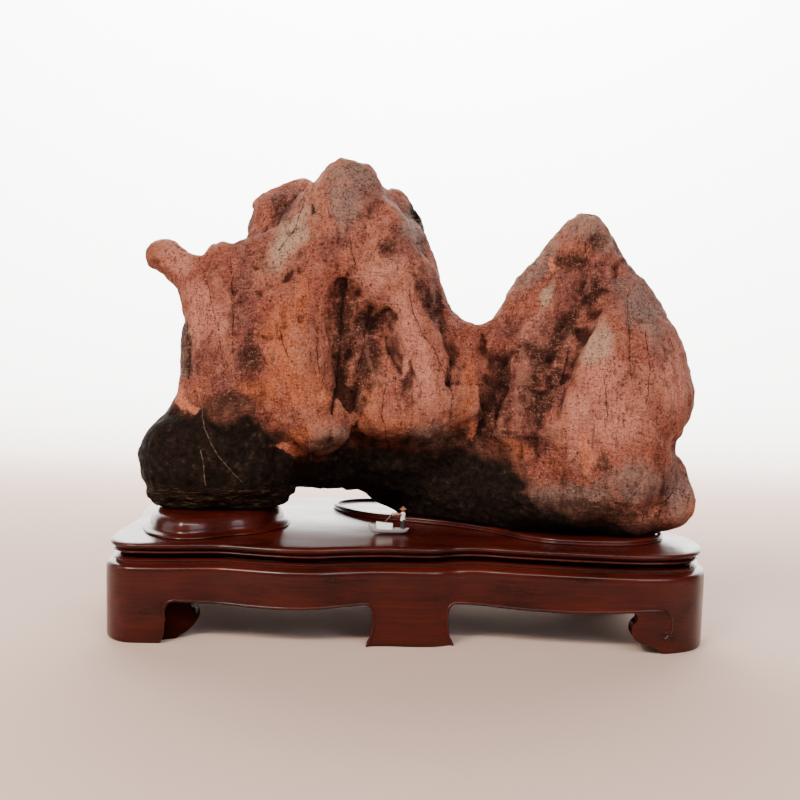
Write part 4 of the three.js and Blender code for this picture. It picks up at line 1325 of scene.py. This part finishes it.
class BOAT_OT_make(bpy.types.Operator):
    """Makes the miniature boat, its cabin, the boatman and the pole"""

    bl_idname = "rock.make_boat"
    bl_label = "Make the boat"

    def execute(self, context):
        self.hull(context.scene.rock_boat)
        self.cabin()
        self.boatman(context.scene.rock_boat)
        cane = material_for("brown_cane", painted_clay, "brown_cane", "#5c4030", 0.6)
        held = np.array([[-3.4, -3.8, 10.2], [0.2, -2.7, 14.6], [3.4, -1.8, 18.6]])
        pole = strand("punt_pole", held + BOAT, 0.36 * MM, cane, sides=10)
        finish_piece(pole, None, ["boat_pole"])
        return {"FINISHED"}

    def hull(self, settings):
        """A punt with a raised bow, dark with a pale rim."""
        half = settings.length / MM / 2
        rings = []
        for u in np.linspace(-1, 1, 33):
            beam = 4.5 * (1 - abs(u) ** 2.6) ** 0.6 + 0.12
            sheer = 4.1 + 3.4 * max(0, -u) ** 4 + 0.8 * max(0, u) ** 4
            keel = 0.05 + (sheer - 0.6) * abs(u) ** 7
            deck = 0.62 + 0.33 * float(u > 0.4)
            half_section = [(beam * w, keel + (sheer - keel) * h) for w, h in (
                (0, 0), (0.55, 0.04), (0.85, 0.35), (0.98, 0.84), (1.0, 1.0), (0.84, 1.0),
                (0.74, deck), (0, deck))]
            section = half_section + [(-y, z) for y, z in half_section[-2:0:-1]]
            rings.append([(u * half, y, z) for y, z in section])
        n = len(rings[0])
        hull = faced_outwards(object_from("hull", np.vstack(rings) + BOAT,
                                          tube_faces(len(rings), n)))
        smooth_by_angle(hull, 50)
        dark = material_for("grey_glaze", painted_clay, "grey_glaze", "#1c191a", 0.4)
        pale = material_for("pale_glaze", painted_clay, "pale_glaze", "#b9a8a8", 0.35)
        finish_piece(hull, dark, ["boat_hull"])
        hull.data.materials.append(pale)
        rim = (3, 4, n - 4, n - 5)
        for index, face in enumerate(hull.data.polygons):
            face.material_index = int(index % n in rim)

    def cabin(self):
        """The low white box amidships."""
        outline = np.array([(-10.4, 2.9), (3.1, 2.9), (3.6, 8.0), (3.2, 8.5), (-4, 9.1),
                            (-10.8, 9.8), (-11.2, 9.2)])
        half = 2.1
        box = prism("cabin", outline + BOAT[[0, 2]], BOAT[1] - half, BOAT[1] + half, "y")
        edge = box.modifiers.new("edges", "BEVEL")
        edge.width, edge.segments, edge.limit_method = 0.3 * MM, 3, "ANGLE"
        box = plain_mesh(box, "cabin")
        smooth_by_angle(box, 40)
        white = material_for("white_glaze", painted_clay, "white_glaze", "#eeece8", 0.3)
        finish_piece(box, white, ["boat_cabin"])

    def boatman(self, settings):
        """A standing figure of turned shapes, with a plain head under a cone hat."""
        drawn_height, deck, x = 0.020, 4.5, 12.3
        grow = settings.height / drawn_height
        parts = [
            ("cloth_trousers", "#2b2a33", lathe(
                [(1.35, 4.5), (1.15, 6), (1.3, 9.6), (1.8, 11.8), (1.6, 12.6)],
                (x + 0.5, -0.9, 0))),
            ("cloth_trousers", "#2b2a33", lathe(
                [(1.3, 4.5), (1.1, 6), (1.25, 9.6), (1.7, 11.8), (1.5, 12.6)],
                (x - 0.6, 0.9, 0))),
            ("cloth_shirt", "#efe4e2", lathe(
                [(2.4, 11.4), (2.5, 11.9), (1.9, 13.5), (2.0, 15.5), (2.3, 17.4), (1.6, 18.6),
                 (0.7, 19)], (x, 0, 0))),
            ("skin_clay", "#b07a62", lathe(
                [(0.6, 18.5), (1.1, 19.1), (1.5, 20.2), (1.4, 21.1), (0.9, 21.8), (0.3, 22)],
                (x, 0, 0))),
            ("straw_hat", "#8f5f42", lathe(
                [(3.1, 21.2), (3.2, 21.35), (2.2, 22.2), (1.1, 23.3), (0.25, 24.0), (0.05, 24.1)],
                (x, 0, 0))),
        ]
        points, faces, tints, materials = [], [], [], []
        for tint, code, (p, f) in parts:
            material = material_for(tint, painted_clay, tint, code, 0.5)
            if material not in materials:
                materials.append(material)
            base = len(points)
            points += p
            faces += [[i + base for i in g] for g in f]
            tints += [materials.index(material)] * len(f)
        points = np.array(points)
        points[:, 2] = deck + grow * (points[:, 2] - deck)
        figure = object_from("boatman_figure", points + BOAT, faces)
        for material in materials:
            figure.data.materials.append(material)
        figure.data.polygons.foreach_set("material_index", tints)
        smooth_by_angle(figure, 45)
        finish_piece(figure, None, ["boatman"])
        skin = bpy.data.materials["skin_clay"]
        for k, (a, b, c) in enumerate([
            ((x - 1, -1.7, 17.6), (x - 4, -2.2, 17.2), (3.4, -1.7, 17.2)),
            ((x - 1, 1.6, 17.4), (x - 4, 0.6, 15.6), (3.2, -1.4, 16.2)),
        ]):
            arm = strand(f"boatman_arm_{k}", np.array([a, b, c]) + BOAT, 0.75 * MM, skin,
                         tips=[1.1, 0.95, 0.8])
            finish_piece(arm)


# ------------------------------------------------------------------ the stage


class STAGE_OT_make(bpy.types.Operator):
    """Makes the floor, the soft lights and the camera"""

    bl_idname = "rock.make_stage"
    bl_label = "Make the stage"

    def execute(self, context):
        settings = context.scene.rock_stage
        self.floor(settings)
        self.lights(context.scene)
        self.camera(context.scene, settings)
        return {"FINISHED"}

    def floor(self, settings):
        """One sheet of paper that lies on the floor and curves up behind."""
        near, foot, curve, top, side = -6000, 900, 1400, 6000, 7000
        depth = [(near, 0), (foot, 0)]
        depth += [(foot + curve * math.sin(a), curve - curve * math.cos(a))
                  for a in np.linspace(0.05, math.pi / 2, 16)]
        depth += [(foot + curve, top)]
        points = [(x, y, z) for y, z in depth for x in (-side, side)]
        faces = [(2 * k, 2 * k + 1, 2 * k + 3, 2 * k + 2) for k in range(len(depth) - 1)]
        floor = object_from("floor", points, faces)
        material, tree = new_material("matt_paper")
        place = add(tree, "ShaderNodeSeparateXYZ", {
            0: add(tree, "ShaderNodeTexCoord").outputs["Object"]})
        back = add(tree, "ShaderNodeMapRange", {
            "Value": place.outputs["Y"], "From Min": 0.5, "From Max": 1.4},
            interpolation_type="SMOOTHSTEP").outputs[0]
        paper = add(tree, "ShaderNodeMix", {
            0: back, 6: colour(settings.floor), 7: colour("#f2f0ee")}, data_type="RGBA")
        shader = add(tree, "ShaderNodeBsdfPrincipled", {
            "Base Color": paper.outputs[2], "Roughness": 0.9, "Specular IOR Level": 0.1})
        add(tree, "ShaderNodeOutputMaterial", {"Surface": shader.outputs[0]})
        floor.data.materials.append(material)

    def lights(self, scene):
        """Soft panels from the front, one from the left and a bright wash on the paper behind."""
        world = bpy.data.worlds.new("studio")
        scene.world = world
        world.use_nodes = True
        glow = world.node_tree.nodes["Background"].inputs
        glow["Color"].default_value, glow["Strength"].default_value = colour("#f6f4f2"), 0.14
        for name, place, aim, size, power, tint in (  # metres and watts
            ("key", (-1.3, -1.8, 2.0), (0, 0, 0.25), (1.0, 0.8), 93, "#fff3e6"),
            ("fill", (1.4, -2.2, 1.7), (0, 0, 0.22), (1.4, 1.2), 34, "#f3f5ff"),
            ("strip", (0.1, -1.7, 1.9), (0, 0, 0.08), (2.6, 0.15), 46, "#fff6ee"),
            ("side", (-2.2, -0.6, 1.0), (0, 0, 0.25), (1.2, 1.2), 14, "#fffaf4"),
            ("backdrop", (0, 1.0, 2.2), (0, 3.0, 1.4), (3.6, 1.0), 680, "#ffffff"),
        ):
            light = bpy.data.lights.new(name, "AREA")
            light.shape, light.size, light.size_y = "RECTANGLE", *size
            light.energy, light.color = power, colour(tint)[:3]
            lamp = bpy.data.objects.new(name, light)
            scene.collection.objects.link(lamp)
            lamp.location = place
            along = Vector(aim) - Vector(place)
            lamp.rotation_euler = along.to_track_quat("-Z", "Y").to_euler()

    def camera(self, scene, settings):
        """Looks at the stone from a little above its middle."""
        camera = bpy.data.cameras.new("camera")
        camera.lens, camera.sensor_width = settings.lens, 36
        camera.clip_start, camera.clip_end = 0.05, 50
        eye = bpy.data.objects.new("camera", camera)
        scene.collection.objects.link(eye)
        place = Vector((EYE + DRAWN_FROM) * MM)
        tilt = Matrix.Rotation(math.radians(90 - EYE_DOWN), 4, "X")
        roll = Matrix.Rotation(math.radians(EYE_LEAN), 4, "Z")
        eye.matrix_world = Matrix.Translation(place) @ tilt @ roll
        scene.camera = eye


class ROCK_PT_panel(bpy.types.Panel):
    """Lists the steps that build the scholars rock"""

    bl_idname = "ROCK_PT_panel"
    bl_label = "Scholars rock"
    bl_space_type = "VIEW_3D"
    bl_region_type = "UI"
    bl_category = "Scholars rock"

    def draw(self, context):
        for group in ("rock_stone", "rock_stand", "rock_boat", "rock_stage"):
            settings = getattr(context.scene, group)
            for name in settings.bl_rna.properties.keys():
                if name not in ("rna_type", "name"):
                    self.layout.prop(settings, name)
        for step in STEPS:
            self.layout.operator(step.bl_idname)


STEPS = (STONE_OT_make, STAND_OT_board, STAND_OT_seats, STAND_OT_aprons, BOAT_OT_make,
         STAGE_OT_make)
GROUPS = {"rock_stone": StoneSettings, "rock_stand": StandSettings, "rock_boat": BoatSettings,
          "rock_stage": StageSettings}


def register():
    for group in GROUPS.values():
        bpy.utils.register_class(group)
    for name, group in GROUPS.items():
        setattr(bpy.types.Scene, name, bpy.props.PointerProperty(type=group))
    for step in STEPS:
        bpy.utils.register_class(step)
    bpy.utils.register_class(ROCK_PT_panel)


def unregister():
    bpy.utils.unregister_class(ROCK_PT_panel)
    for step in reversed(STEPS):
        bpy.utils.unregister_class(step)
    for name, group in GROUPS.items():
        delattr(bpy.types.Scene, name)
        bpy.utils.unregister_class(group)


def main():
    register()
    bpy.ops.rock.make_stage()
    bpy.ops.rock.make_board()
    bpy.ops.rock.make_seats()
    bpy.ops.rock.make_aprons()
    bpy.ops.rock.make_stone()
    bpy.ops.rock.make_boat()


if __name__ == "__main__":
    main()
